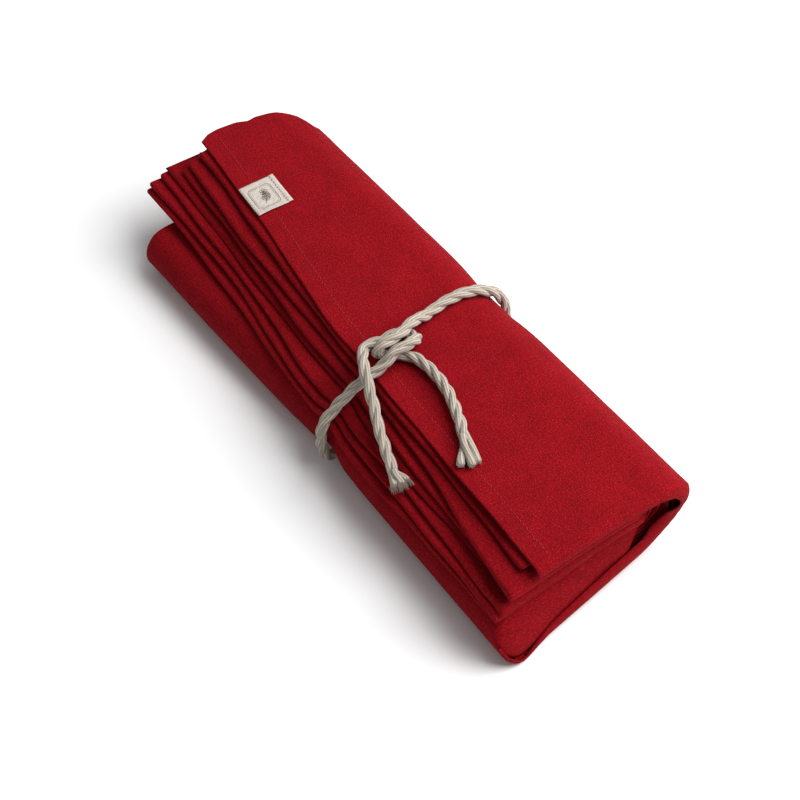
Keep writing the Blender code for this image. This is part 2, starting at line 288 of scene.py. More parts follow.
# %% [markdown]
# ## The cord
#
# A rope of three strands is laid: the strands go round each other as a right-handed
# helix, one turn in about five diameters. A plain tube with a picture of strands would
# have a smooth outline, so each strand is a tube of its own here, swept along a helix
# round the route. Hand-laid strands are never quite even, so each swells a little.

# %% Strands
STRANDS = 3
LAY = 5.0 * CORD          # length of one turn
STRAND_RADIUS = 0.00206
STRAND_OFFSET = CORD / 2 - STRAND_RADIUS
STRAND_SIDES = 14
STRAND_SWELL, STRAND_WAVE = 0.03, 410    # share of the radius, and radians per metre
RIGHT_SPLIT = 0.0230      # from the right free end, where the strands part
LEFT_SPLIT = 0.0120


def strand_path(number):
    """One strand's own line round the centreline."""
    _, first, second = steady_frames(centreline)
    turn = 2 * math.pi * (centre_along / LAY + number / STRANDS)
    side = first * np.cos(turn)[:, None] + second * np.sin(turn)[:, None]
    return centreline + side * STRAND_OFFSET


right_cut = int(np.searchsorted(centre_along, RIGHT_SPLIT))
left_cut = int(np.searchsorted(centre_along, CORD_LENGTH - LEFT_SPLIT))
whole_rope = slice(right_cut, left_cut + 1)
strand_parts = []
for number in range(STRANDS):
    swell = 1 + STRAND_SWELL * np.sin(centre_along[whole_rope] * STRAND_WAVE + number)
    line = strand_path(number)[whole_rope]
    strand_parts.append(sweep(line, STRAND_RADIUS * swell, STRAND_SIDES))
cord_piece = tubes_object("tie_cord_strands", strand_parts)
print_piece(cord_piece)

# %% [markdown]
# ## Parted strands
#
# The cord's ends are cut and not whipped, so its strands part. Each strand goes on from
# the rope's last turn in a soft curve to a tip of its own, given one by one. Out of its end
# comes a tuft of loose fibres: thin tapered tubes with a slight bow, spread by chance
# but from a fixed seed, so that every run draws the same ones.

# %% Parted strands
TIP_ROWS = 16
SLOPE_KEPT = 0.6          # of the rope's own slope, in its loose strands
FIBRE_RADIUS = 0.00016
FIBRE_TAPER = (1.0, 1.0, 0.8, 0.3)
FIBRE_SIDES = 5
FIBRE_ROOT = 0.0022       # inside the strand's end
FIBRE_SHARE = 0.7         # of the strand's radius, where the roots are
FIBRE_LIFT = (-0.6, 0.5)
FIBRE_LENGTHS = (0.75, 1.25)
FIBRE_BOW, FIBRE_BOW_UP = 0.0005, (-0.5, 0.8)


def cubic(t, start, after_start, before_end, end):
    """A point of a curve from start to end that heads for the points between."""
    return ((1 - t) ** 3 * start + 3 * (1 - t) ** 2 * t * after_start
            + 3 * (1 - t) * t * t * before_end + t ** 3 * end)


def parted_strand(number, cut, step, tip):
    """A strand's line from the rope's last turn to its tip."""
    line = strand_path(number)
    start = line[cut]
    heading = unit(line[cut] - line[cut - step])
    along = unit(centreline[cut] - centreline[cut - step])
    along[2] *= SLOPE_KEPT
    along = unit(along)
    aside = unit(np.cross(along, UP))
    end = centreline[cut] + along * tip[0] + aside * tip[1] + np.array((0, 0, tip[2]))
    pull = np.linalg.norm(end - start) / 3
    t = np.linspace(0, 1, TIP_ROWS)[:, None]
    return cubic(t, start, start + heading * pull, end - along * pull, end)


def tuft(tip_line, spread, count, length, rng):
    """Loose fibres out of the end of a strand."""
    end, heading = tip_line[-1], unit(tip_line[-1] - tip_line[-3])
    across = unit(np.cross(heading, UP))
    up = np.cross(across, heading)
    t = np.linspace(0, 1, len(FIBRE_TAPER))[:, None]
    fibres = []
    for _ in range(count):
        out = rng.uniform(-1, 1)
        aside = across * out + up * rng.uniform(*FIBRE_LIFT)
        root = end - heading * FIBRE_ROOT + aside * STRAND_RADIUS * FIBRE_SHARE
        tip = root + heading * length * rng.uniform(*FIBRE_LENGTHS) + aside * spread
        bow = (across * rng.uniform(-1, 1) + up * rng.uniform(*FIBRE_BOW_UP)) * FIBRE_BOW
        line = root + (tip - root) * t + bow * np.sin(math.pi * t)
        fibres.append(sweep(line, FIBRE_RADIUS * np.array(FIBRE_TAPER), FIBRE_SIDES))
    return fibres


print("fibres are", 2000 * FIBRE_RADIUS, "mm thick")

# %% [markdown]
# ## The cord's two free ends
#
# At the right-hand end the three strands lie side by side and each has opened to a short
# tuft. At the left-hand end they have frayed into a flat brush. The strands are sorted
# from left to right at the cut, so that none has to cross another to reach its tip.

# %% Free ends
TIP_SWELL, TIP_CLOSED = 0.30, 0.62    # a strand opens up, and its last ring is drawn in
FREE_ENDS = {
    "cord_right_end": {
        "cut": right_cut, "step": -2, "spread": 0.0007, "fibres": 22, "long": 0.0030, "seed": 3,
        # along past the split, aside, up: where each strand ends
        "tips": ((0.0198, -0.0046, -0.0014), (0.0222, -0.0010, -0.0008),
                 (0.0206, 0.0054, -0.0016))},
    "cord_left_end": {
        "cut": left_cut, "step": 2, "spread": 0.0024, "fibres": 30, "long": 0.0060, "seed": 5,
        "tips": ((0.0078, -0.0052, -0.0004), (0.0096, -0.0016, 0.0000),
                 (0.0092, 0.0022, -0.0008))},
}


def strands_by_side(cut, step):
    """Strand numbers from the one furthest to the left of the rope's heading."""
    along = unit(centreline[cut] - centreline[cut - step])
    aside = unit(np.cross(along, UP))
    return list(np.argsort([(strand_path(n)[cut] - centreline[cut]) @ aside
                            for n in range(STRANDS)]))


def free_end(name, cut, step, tips, spread, fibres, long, seed):
    """The parted strands and tufts at one end of the cord."""
    rng = random.Random(seed)
    swell = 1 + TIP_SWELL * np.linspace(0, 1, TIP_ROWS) ** 2
    swell[-1] *= TIP_CLOSED
    parts = []
    for tip, number in zip(tips, strands_by_side(cut, step)):
        line = parted_strand(number, cut, step, tip)
        parts.append(sweep(line, STRAND_RADIUS * swell, STRAND_SIDES))
        parts += tuft(line, spread, fibres, long, rng)
    return tubes_object(name, parts)


right_end, left_end = [free_end(name, **made) for name, made in FREE_ENDS.items()]
for piece in (right_end, left_end):
    print_piece(piece)

# %% [markdown]
# ## How the cloth is folded
#
# The cloth is one thin sheet, so it is made as one: a strip that is followed from the
# hem of its top flap to its inner hem. Seven plies run side by side through four panels,
# over the top, round the fat right-hand fold, along the bottom, round the left-hand
# fold, back through the middle, round the inner fold and out to the left again. Each
# ply turns into the next at a left-hand edge, and those edges make the stepped fan.
#
# A cloth simulation would have to fold a sheet 28 times over, and its layers would slide
# through each other. The folds are built from their own sizes instead: one function
# gives the height of a layer at any place, and small tables give what is uneven. The
# first table says where the fan's edges lie, at five places along the bundle.

# %% The folding
THICK = 0.0013            # one layer, with its slack
PITCH = 0.0025            # from one layer to the next
PLIES = 7
LAYERS = 4 * PLIES
TOP = LAYERS - 1          # layers count from 0 on the underside to this on top
FACE_TOP = LAYERS // 2 - 1    # top layer of the lower half
MIDDLE = TOP / 2          # height, in layers, of the right-hand folds' centre
LOW_MIDDLE = FACE_TOP / 2     # height, in layers, of the left-hand fold's centre
RIGHT_FOLD_Y = 0.0410     # centre of the right-hand folds

STATIONS = (-0.211, -0.090, -0.010, 0.125, 0.206)    # X, from the far end to the near one
LEFT_FOLD_YS = (-0.0588, -0.0572, -0.0554, -0.0574, -0.0592)    # centre, at each station
EDGES = (
    # layers   Y of the edge at each station
    ((27,),    (-0.0125, -0.0270, -0.0380, -0.0445, -0.0500)),    # hem of the flap
    ((26, 25), (-0.0185, -0.0305, -0.0395, -0.0468, -0.0532)),
    ((24, 23), (-0.0270, -0.0385, -0.0420, -0.0545, -0.0675)),
    ((22, 21), (-0.0310, -0.0415, -0.0490, -0.0570, -0.0600)),
    ((20,),    (-0.0385, -0.0450, -0.0525, -0.0618, -0.0610)),    # inner hem
    ((19, 18), (-0.0430, -0.0500, -0.0615, -0.0665, -0.0718)),
    ((17, 16), (-0.0500, -0.0545, -0.0665, -0.0712, -0.0760)),
    ((15, 14), (-0.0540, -0.0590, -0.0700, -0.0742, -0.0748)),
)


def eased(x, xs, ys):
    """Smooth curve through the points of a table."""
    slopes = np.gradient(ys, xs)
    k = int(np.clip(np.searchsorted(xs, x) - 1, 0, len(xs) - 2))
    span = xs[k + 1] - xs[k]
    t = min(max((x - xs[k]) / span, 0.0), 1.0)
    low = (1 + 2 * t) * (1 - t) ** 2 * ys[k] + t * (1 - t) ** 2 * span * slopes[k]
    high = t * t * (3 - 2 * t) * ys[k + 1] + t * t * (t - 1) * span * slopes[k + 1]
    return low + high


def ease_in(t):
    """Smooth step from 0 to 1."""
    t = np.clip(t, 0.0, 1.0)
    return t * t * (3 - 2 * t)


print("layers:", LAYERS, "edges in the fan:", len(EDGES))

# %% [markdown]
# ## Where the cord holds it
#
# The tie crosses the bundle at a slight skew. It draws the layers together over a few
# centimetres, which gives the waist, and the underside rises over the cord beneath it,
# so that the bundle still stands flat on the floor on both sides of the cord.

# %% The tie's waist and groove
TIE_X, TIE_SKEW = 0.0175, -0.090
WAIST, WAIST_IN, WAIST_LENGTH = 0.045, 0.0022, 0.026
GROOVE = CORD + 0.0006
GROOVE_HALF, GROOVE_RAMP = 0.0062, 0.0170


def tie_x(y):
    return TIE_X + TIE_SKEW * y


def near_tie(x, y):
    """1 at the tie, falling to 0 along the bundle."""
    return np.exp(-((x - tie_x(y)) / WAIST_LENGTH) ** 2)


def groove_at(x, y):
    """1 where the cord passes beneath, 0 away from it."""
    return ease_in((GROOVE_RAMP - np.abs(x - tie_x(y))) / (GROOVE_RAMP - GROOVE_HALF))


print("tie crosses the middle at", TIE_X)

# %% [markdown]
# ## What is uneven
#
# Folded linen is never flat. Its layers undulate a little, its edges wander by half a
# millimetre or so, and a pull of the cord leaves soft troughs beside the band. These
# are sums of a few long waves and a short table of troughs, all far smaller than the
# gap between two layers, so that no layer touches the next.

# %% Unevenness
LAYER_STRAY = 0.00030     # how far a layer rises or falls by itself
BROAD_WAVE = (31, 1.7, 23, -0.9)    # radians per metre along, per layer; across, per layer
FINE_WAVE = (67, -2.3, 40, 0.6)     # along, per layer; across; and its share
EDGE_WAVES = (
    # size     per metre   per edge
    (0.0006,   38,         2.1),
    (0.0003,   91,        -1.3),
)
TROUGHS = (
    # from x, y        to x, y           depth    width
    ((-0.010, 0.030), (0.004, -0.012),  0.0011,  0.011),    # along the band, far side
    ((0.033, 0.034),  (0.034, 0.004),   0.0008,  0.010),    # along the band, near side
    ((0.046, -0.022), (0.098, -0.032),  0.0012,  0.010),    # beside the right free end
    ((-0.052, 0.052), (-0.012, 0.020),  0.0005,  0.012),
    ((0.050, 0.040),  (0.115, 0.022),  -0.0005,  0.016),
    ((-0.150, 0.030), (-0.060, 0.018),  0.0004,  0.018),
    ((0.120, 0.010),  (0.185, 0.030),   0.0004,  0.015),
)
TROUGH_LAYERS = 9         # a trough dies out this many layers down


def waves(table, place, number):
    """Sum of waves, each given as its size and its turn per metre and per number."""
    return sum(size * np.sin(rate * place + turn * number) for size, rate, turn in table)


def stray(layer, x, y):
    """A layer's own slow rise and fall."""
    along, turn, across, back = BROAD_WAVE
    broad = np.sin(along * x + turn * layer) * np.cos(across * y + back * layer)
    along, turn, across, share = FINE_WAVE
    return LAYER_STRAY * (broad + share * np.sin(along * x + turn * layer + across * y))


def troughs(x, y):
    """Depth of the soft troughs at a place on top."""
    depth = 0.0
    for (x0, y0), (x1, y1), deep, width in TROUGHS:
        run_x, run_y = x1 - x0, y1 - y0
        t = np.clip(((x - x0) * run_x + (y - y0) * run_y) / (run_x ** 2 + run_y ** 2), 0, 1)
        gap = np.hypot(x - x0 - t * run_x, y - y0 - t * run_y)
        depth += deep * np.exp(-(gap / width) ** 2)
    return depth


print("troughs:", len(TROUGHS), "deepest in mm:", 1000 * max(row[2] for row in TROUGHS))

# %% [markdown]
# ## Gaps in the fan
#
# The fan's layers don't lie tight on one another at their edges. A few of them hang below
# their place along part of the bundle, which opens a dark gap above, and the gap is made
# up again over the layers beneath. At the far end the fan stands up a little instead, off
# the loose roll below it.

# %% Gaps and lift
GAPS = (
    # below layer  depth    from x   widest   to x
    (27,           0.0032,  0.050,   0.160,   0.214),    # under the flap
    (23,           0.0016,  0.080,   0.170,   0.214),
    (21,           0.0014, -0.230,  -0.070,   0.020),
    (27,           0.0008, -0.220,  -0.120,   0.000),
)
GAP_LAYERS = 10           # a gap is made up over this many layers below it
ALMOST = 0.01             # of a layer, for stops a rounding error above their own
GAP_FROM_Y, GAP_TO_Y = -0.024, -0.044
LIFT, LIFT_FROM_X, LIFT_LONG = 0.0046, -0.105, 0.095
LIFT_FROM_Y, LIFT_WIDE = -0.012, 0.036


def gap_drop(layer, x, y):
    """How far a layer hangs below its place, where the fan opens above it."""
    drop = 0.0
    beside = ease_in((GAP_FROM_Y - y) / (GAP_FROM_Y - GAP_TO_Y))
    for below, depth, x0, widest, x1 in GAPS:
        rise, fall = (x - x0) / (widest - x0), (x1 - x) / (x1 - widest)
        above_gap = layer > below - 1 + ALMOST
        under = np.clip((layer - below + GAP_LAYERS) / (GAP_LAYERS - 1), 0, 1)
        under = np.where(above_gap, 0.0, under)
        drop = drop + depth * ease_in(np.minimum(rise, fall)) * beside * under
    return drop


def far_lift(layer, x, y):
    """How far the fan's layers stand up at the far end, off the roll below them."""
    at_end = ease_in((LIFT_FROM_X - x) / LIFT_LONG)
    at_end = at_end * ease_in((LIFT_FROM_Y - y) / LIFT_WIDE)
    upper_half = layer > FACE_TOP + 0.4    # the folds' stops lie between whole layers
    return LIFT * at_end * np.where(upper_half, (TOP - layer) / (LAYERS / 2), 0.0)


print("gaps:", len(GAPS), "widest in mm:", 1000 * max(row[1] for row in GAPS))

# %% [markdown]
# ## The height of a layer
#
# One function puts it all together. The cloth's top swells a little along its middle and
# sags toward the fan, the waist presses the layers together, and the groove, the troughs,
# the gaps and the layers' own stray are added on. Stray dies out toward the floor, which
# is flat, and under the pull of the tie.

# %% Height
SWELL, SWELL_Y, SWELL_WIDTH = 0.0016, 0.010, 0.035
SAG, SAG_FROM_Y, SAG_WIDTH = 0.0022, -0.020, 0.050
CALM_SHARE = 0.25         # of the height, from the floor up, in which stray builds up
CALM_AT_TIE = 0.7


def height(layer, x, y):
    """Z of a layer's middle."""
    share = layer / TOP
    swell = SWELL * np.exp(-((y - SWELL_Y) / SWELL_WIDTH) ** 2)
    sag = SAG * np.clip((SAG_FROM_Y - y) / SAG_WIDTH, 0.0, 1.0)
    z = layer * PITCH * (1 - WAIST * near_tie(x, y)) + (swell - sag) * share
    z += GROOVE * groove_at(x, y) * (1 - share)
    sunk = np.clip((layer - TOP + TROUGH_LAYERS) / TROUGH_LAYERS, 0, 1)
    loose = np.clip(share / CALM_SHARE, 0, 1) * (1 - CALM_AT_TIE * near_tie(x, y))
    z = z - troughs(x, y) * sunk - gap_drop(layer, x, y) + far_lift(layer, x, y)
    return THICK / 2 + z + stray(layer, x, y) * loose


print(f"top of the flap: {float(height(TOP, -0.1, 0.0)) + THICK / 2:.4f} m")

# %% [markdown]
# ## The strip
#
# The strip is sampled where it bends and where it shows: closely over the flap, the
# round folds and the near end's lips, and widely between plies that nothing sees. Each
# sample, called a stop, knows its ply, its panel and its height in layers, so that the
# same table of reaches and lips shapes both ends of every layer.

# %% Route of the strip across the bundle
SHOWN, HIDDEN = 0, 1      # which of the two numbers of steps a stretch takes
FLAT_STEPS = {"top": (34, 9), "bottom": (14, 5), "middle": (8, 5), "inner": (8, 7)}
FOLD_STEPS = {"outer fold": (26, 13), "left fold": (16, 8), "inner fold": (8, 7)}
EDGE_STEPS = 7


def bend(centre, radius, start, end, steps, layer_centre):
    """(y, layer) round a fold, both of its ends included."""
    angles = np.radians(np.linspace(start, end, steps + 1))
    return [(centre + radius * PITCH * math.cos(a), layer_centre + radius * math.sin(a))
            for a in angles]


def run(y0, y1, layer, steps):
    """(y, layer) along a flat stretch, without its two ends, closer near them."""
    shares = [0.5 - 0.5 * math.cos(math.pi * k / steps) for k in range(1, steps)]
    return [(y0 + (y1 - y0) * t, layer) for t in shares]


def edge_y(layer, x):
    """Where the strip turns at a left-hand edge, or ends in a hem."""
    for number, (layers, ys) in enumerate(EDGES):
        if layer in layers:
            inset = PITCH / 2 if len(layers) == 2 else 0.0
            return eased(x, STATIONS, ys) + inset + waves(EDGE_WAVES, x, number)
    raise ValueError(layer)


def ply_route(ply, x):
    """(panel, y, layer) of one ply, from its edge on top to its edge inside."""
    draw = WAIST_IN * float(near_tie(x, 0.0))
    right, left = RIGHT_FOLD_Y - draw, eased(x, STATIONS, LEFT_FOLD_YS) + draw
    top, bottom = LAYERS - ply, ply - 1
    middle, inner = PLIES * 2 - ply, PLIES * 2 - 1 + ply
    seen = SHOWN if ply == 1 else HIDDEN
    flat = {panel: steps[seen] for panel, steps in FLAT_STEPS.items()}
    fold = {panel: steps[seen] for panel, steps in FOLD_STEPS.items()}
    start, end = edge_y(top, x) + draw, edge_y(inner, x) + draw
    outer = bend(right, MIDDLE - bottom, 90, -90, fold["outer fold"], MIDDLE)
    low = bend(left, -(LOW_MIDDLE - bottom), 90, -90, fold["left fold"], LOW_MIDDLE)
    inside = bend(right, ply - 0.5, -90, 90, fold["inner fold"], MIDDLE)
    route = [("top", start, top)]
    route += [("top", *p) for p in run(start, right, top, flat["top"])]
    route += [("outer fold", *p) for p in outer]
    route += [("bottom", *p) for p in run(right, left, bottom, flat["bottom"])]
    route += [("left fold", *p) for p in low]
    route += [("middle", *p) for p in run(left, right, middle, flat["middle"])]
    route += [("inner fold", *p) for p in inside]
    route += [("inner", *p) for p in run(right, end, inner, flat["inner"])]
    route.append(("inner", end, inner))
    return route


def strip_route(x):
    """(ply, panel, y, layer) of the whole strip at one place along the bundle."""
    stops = []
    for ply in range(1, PLIES + 1):
        route = ply_route(ply, x)
        if ply % 2 == 0:
            route.reverse()
        if stops:
            _, _, y, layer = stops[-1]
            turn = 0.5 * (route[0][2] - layer)
            arc = bend(y, -0.5, 180 * turn, -180 * turn, EDGE_STEPS, layer + turn)
            stops += [(ply, "edge", *p) for p in arc[1:-1]]
        stops += [(ply, *stop) for stop in route]
    return stops


GUIDE = strip_route(0.0)
print("stops across the strip:", len(GUIDE))

# %% [markdown]
# ## Between two layers
#
# Each whole layer has a place where it ends, far and near, that changes across the
# bundle. Where the strip goes round a fold, its end is a blend of the two layers that the
# fold joins: `LOW` and `HIGH` are those layers for every stop, and `BLEND` says how far
# the stop is from the one to the other.

# %% Stops and their layers
ROUNDING = 1e-9
PLY = np.array([stop[0] for stop in GUIDE])
PANEL = np.array([stop[1] for stop in GUIDE])
LAYER = np.array([stop[3] for stop in GUIDE], dtype=float)
LOW = np.floor(LAYER + ROUNDING).astype(int)
HIGH = np.ceil(LAYER - ROUNDING).astype(int)
for fold, low, high in (("outer fold", PLY - 1, LAYERS - PLY),
                        ("left fold", PLY - 1, 2 * PLIES - PLY),
                        ("inner fold", 2 * PLIES - PLY, 2 * PLIES - 1 + PLY)):
    LOW = np.where(PANEL == fold, low, LOW)
    HIGH = np.where(PANEL == fold, high, HIGH)
BLEND = (LAYER - LOW) / np.maximum(HIGH - LOW, 1)


def blended(low, high):
    """Between a value for the layer below and one for the layer above each stop."""
    return low * (1 - BLEND) + high * BLEND


print("stops on folds:", int(np.isin(PANEL, list(FOLD_STEPS)).sum()))

# %% [markdown]
# ## The far end
#
# The layers end in steps at the far end. The fan's inner layers reach out furthest, all
# of the upper half drops back toward the right-hand fold, and the lower half stops short.
# The table gives the end of a whole layer in millimetres, because its rows are easier to
# compare so. The plies inside a fold are set back a little, each by its own amount.

# %% Far ends
FAR_Y = (-0.076, -0.052, -0.034, -0.014, -0.006, 0.002, 0.016, 0.024, 0.030, 0.044, 0.056,
         0.064, 0.076)
FAR_ENDS = (
    # layers            far end in mm at each FAR_Y
    (range(27, 28),     (-211, -211, -211, -212, -216, -217, -216, -212.4, -213, -209.5,
                         -203.5, -190, -186)),
    (range(25, 27),     (-206, -206, -206, -206, -207, -208, -209, -209, -208, -205,
                         -199, -187, -183)),
    (range(21, 25),     (-207, -207, -207.5, -209, -210, -210.5, -210, -209, -208, -205,
                         -199, -187, -183)),
    (range(18, 21),     (-218, -219.5, -220, -221, -220, -218, -215, -211, -208, -202,
                         -196, -190, -186)),
    (range(14, 18),     (-219.5, -220.5, -219, -217, -216, -214, -212, -209, -206, -200,
                         -194, -188, -184)),
    (range(0, 14),      (-189, -189.5, -190, -191, -191, -192, -192, -193, -193, -193,
                         -193, -193, -192)),
)
FAR_SETBACK = (0.0, 0.0030, 0.0012, 0.0036, 0.0022, 0.0042, 0.0026)    # by ply
FAR_WAVES = (
    # size     per metre   per ply
    (0.0006,   55,         1.9),
    (0.0004,   130,       -1.0),
)

FAR_TABLE = np.zeros((LAYERS, len(FAR_Y)))
for far_layers, far_mm in FAR_ENDS:
    FAR_TABLE[list(far_layers)] = np.array(far_mm) / 1000

# the plies that a setback moves: all of them in the lower half, none where edges show
SET_BACK = np.where(np.isin(PANEL, ["top", "inner", "edge"]), 0.0, 1.0)
SET_BACK = np.where(np.isin(PANEL, ["outer fold", "inner fold"]), 1 - BLEND, SET_BACK)


def far_of(layers, y):
    """Far end's X of whole layers, at a place across."""
    k = np.clip(np.searchsorted(FAR_Y, y) - 1, 0, len(FAR_Y) - 2)
    ys = np.array(FAR_Y)
    t = np.clip((y - ys[k]) / (ys[k + 1] - ys[k]), 0, 1)
    return FAR_TABLE[layers, k] * (1 - t) + FAR_TABLE[layers, k + 1] * t


def far_reach(y):
    """X of the far end at each stop."""
    far = blended(far_of(LOW, y), far_of(HIGH, y))
    return far + np.array(FAR_SETBACK)[PLY - 1] * SET_BACK + waves(FAR_WAVES, y, PLY)


print("far ends in mm:", 1000 * FAR_TABLE.min(), "to", 1000 * FAR_TABLE.max())

# %% [markdown]
# ## The near end
#
# Most plies stop short in the dark at the near end. A few of them, the leaders, come
# further and roll over the ends of those below them. Between the leaders the ends are
# drawn back by turns. The lower half's top ply becomes the broad face. A dent in it and in
# the layers above it opens a pocket, and the layers behind it are tucked away.

# %% Near ends
NEAR_Y = -0.035           # the near ends are measured here
BARE_LIP = 0.0024         # a layer without a lip runs on this far, straight
LEADERS = {
    # layer      near x   skew    lip       last slope (degrees down)
    TOP:        (0.2012,  0.020,  0.0086,   108),
    24:         (0.1974,  0.032,  0.0108,   108),
    19:         (0.1964,  0.048,  0.0092,   106),
    17:         (0.1940,  0.058,  0.0100,   104),
    FACE_TOP:   (0.1926,  0.050,  BARE_LIP, 0),
    0:          (0.2046,  0.186,  0.0068,   82),
}
RECESS = (0.0050, 0.0070, 0.0058)     # of the layers between the leaders, in turn
TUCK, TUCK_STEP = 0.0030, 0.0004      # of the layers behind the broad face
FOLD_OUT = (0.0, 0.0035, 0.0062, 0.0024, 0.0055, 0.0030, 0.0050)    # outer fold, by ply
POCKETS = (
    # y       width    out      layers
    (0.0150,  0.0066, -0.0070, range(FACE_TOP, 19)),
    (0.0300,  0.0060,  0.0022, range(FACE_TOP, FACE_TOP + 1)),
)
CORNER_OUT, CORNER_Y, CORNER_RAMP = 0.0034, -0.036, 0.030    # of the layer on the floor

led = sorted(LEADERS)
NEAR_X, NEAR_SKEW = (np.interp(np.arange(LAYERS), led, [LEADERS[k][c] for k in led])
                     for c in (0, 1))
LIP_LONG, LIP_SLOPE = np.full(LAYERS, BARE_LIP), np.zeros(LAYERS)
for k in range(LAYERS):
    if k in LEADERS:
        LIP_LONG[k], LIP_SLOPE[k] = LEADERS[k][2:]
    else:
        NEAR_X[k] -= RECESS[k % len(RECESS)]


def plain_near(layers, y):
    """Near end's X of whole layers, without pockets or tucks."""
    return NEAR_X[layers] - NEAR_SKEW[layers] * (y - NEAR_Y)


def near_of(layers, y):
    """Near end's X of whole layers, before any lip."""
    x = plain_near(layers, y)
    for middle, width, out, dented in POCKETS:
        x = x + out * np.exp(-((y - middle) / width) ** 2) * np.isin(layers, dented)
    x = x + CORNER_OUT * ease_in((CORNER_Y - y) / CORNER_RAMP) * (layers == 0)
    behind = np.minimum(plain_near(FACE_TOP, y), plain_near(0, y))
    tucked = behind - TUCK - TUCK_STEP * (layers % 3)
    return np.where((layers > 0) & (layers < FACE_TOP), tucked, x)


def near_reach(y):
    """X of the near end at each stop, before any lip."""
    out = np.array(FOLD_OUT)[PLY - 1] * np.sin(math.pi * BLEND) * (PANEL == "outer fold")
    return blended(near_of(LOW, y), near_of(HIGH, y)) + out


print("near ends in mm:", [round(1000 * x, 1) for x in NEAR_X])

# %% [markdown]
# ## Lips
#
# A lip is a short stretch in which a layer turns towards the inside of the bundle: down
# on top, inwards round the right-hand fold, up from the floor. It is a small curve, one
# for each stop of the strip, with a length, a first slope and a last slope. Slopes are in
# degrees from the layer's own plane, so one of more than 90 curls back.

# %% Lips
LIP_ROWS = 10
LIP_FIRST = 8             # first slope of a lip on a layer
LIP_CORNER = 0.0050       # over this width beside the right-hand folds, a lip dies out
LIP_CLEAR = 0.0010        # and is gone this far from their centre
RIM_ANGLES = (-90, -60, -30, 0, 30, 60, 90)    # round the outer right-hand fold, from below
RIM_LONG = (0.0180, 0.0212, 0.0224, 0.0200, 0.0140, 0.0104, 0.0086)
RIM_FIRST = (36, 38, 37, 38, 25, 14, 8)
RIM_SLOPE = (122, 120, 118, 116, 96, 104, 104)
FLOOR_LIP_Y = (-0.060, -0.050, -0.036, -0.010, 0.020, 0.041)    # from left to right
FLOOR_LIP_LONG = (0.0026, 0.0066, 0.0118, 0.0150, 0.0172, 0.0180)
LOW_LEFT_SLOPE = 20       # last slope where the left-hand fold meets the face

OUTER = (PLY == 1) & (PANEL == "outer fold")
FLOOR = (PLY == 1) & (PANEL == "bottom")
LOW_LEFT = (PLY == 1) & (PANEL == "left fold") & (LAYER < LOW_MIDDLE)


def lips(y):
    """Length, first and last slope, and heading (y, z) of the lip at each stop."""
    fade = ease_in((RIGHT_FOLD_Y - LIP_CLEAR - y) / LIP_CORNER)
    fade = np.where((PLY == 1) & (PANEL == "top"), 1.0, fade)
    fade = np.where(np.isin(PANEL, list(FOLD_STEPS)), 0.0, fade)
    length = BARE_LIP + (blended(LIP_LONG[LOW], LIP_LONG[HIGH]) - BARE_LIP) * fade
    slope = blended(LIP_SLOPE[LOW], LIP_SLOPE[HIGH]) * fade

    angle = np.degrees(np.arctan2((LAYER - MIDDLE) * PITCH, y - RIGHT_FOLD_Y))
    low_angle = np.arctan2((LAYER - LOW_MIDDLE) * PITCH, y - LEFT_FOLD_YS[-1])
    turned = np.where(OUTER, np.radians(angle), np.where(FLOOR, -math.pi / 2, low_angle))
    heading = np.tile((0.0, -1.0), (len(y), 1))
    curled = OUTER | FLOOR | LOW_LEFT
    heading[curled] = -np.stack([np.cos(turned), np.sin(turned)], axis=1)[curled]

    length = np.where(OUTER, np.interp(angle, RIM_ANGLES, RIM_LONG), length)
    slope = np.where(OUTER, np.interp(angle, RIM_ANGLES, RIM_SLOPE), slope)
    length = np.where(FLOOR, np.interp(y, FLOOR_LIP_Y, FLOOR_LIP_LONG), length)
    slope = np.where(FLOOR, RIM_SLOPE[0], slope)
    lower = np.clip(1 - LAYER / LOW_MIDDLE, 0, 1)
    length = np.where(LOW_LEFT, BARE_LIP + (FLOOR_LIP_LONG[0] - BARE_LIP) * lower, length)
    slope = np.where(LOW_LEFT, LOW_LEFT_SLOPE + (RIM_SLOPE[0] - LOW_LEFT_SLOPE) * lower, slope)
    first = np.where(OUTER, np.interp(angle, RIM_ANGLES, RIM_FIRST), LIP_FIRST)
    first = np.where(FLOOR, RIM_FIRST[0], first)
    first = np.where(LOW_LEFT, LIP_FIRST + (RIM_FIRST[0] - LIP_FIRST) * lower, first)
    return length, np.radians(first) * (slope > 0), np.radians(slope), heading


def lip_offsets(y, rolled):
    """(x, y, z) from a lip's root to one of its rows."""
    length, first, last, heading = lips(y)
    offset = np.zeros((len(y), 3))
    for k in range(rolled):
        slope = first + (last - first) * (k + 0.5) / LIP_ROWS
        step = length / LIP_ROWS
        offset[:, 0] += np.cos(slope) * step
        offset[:, 1:] += (np.sin(slope) * step)[:, None] * heading
    return offset


print("lips in mm:", 1000 * LIP_LONG.min(), "to", 1000 * max(RIM_LONG))

# %% [markdown]
# ## The broad face
#
# The lower half is closed in another way. Its top ply comes down over its whole end as
# one broad face, bulges a little, and tucks in behind the lip on the floor. The face ends
# beside the right-hand fold, where the rim's own lip takes over.

# %% The broad face
FACE_TO_Y, FACE_FADE = 0.0290, 0.0110
FACE_CLEAR = 0.0012       # of the floor lip's cloth
FACE_SMALL = 0.0060       # a shorter drop than this stays nearly bare
FACE_END_OUT = 0.0010     # past the ends of the layers below
FACE_BULGE = 0.27         # as a share of the drop
FACE_OUT, FACE_OUT_LEAST = 0.9, 0.0012    # of its end's reach, how far it may bulge
FACE_HEEL = 0.0004        # it comes back this far at its foot
FACE_SHOULDER, FACE_KNEE = 0.12, 0.68     # of the drop, where the curve heads for

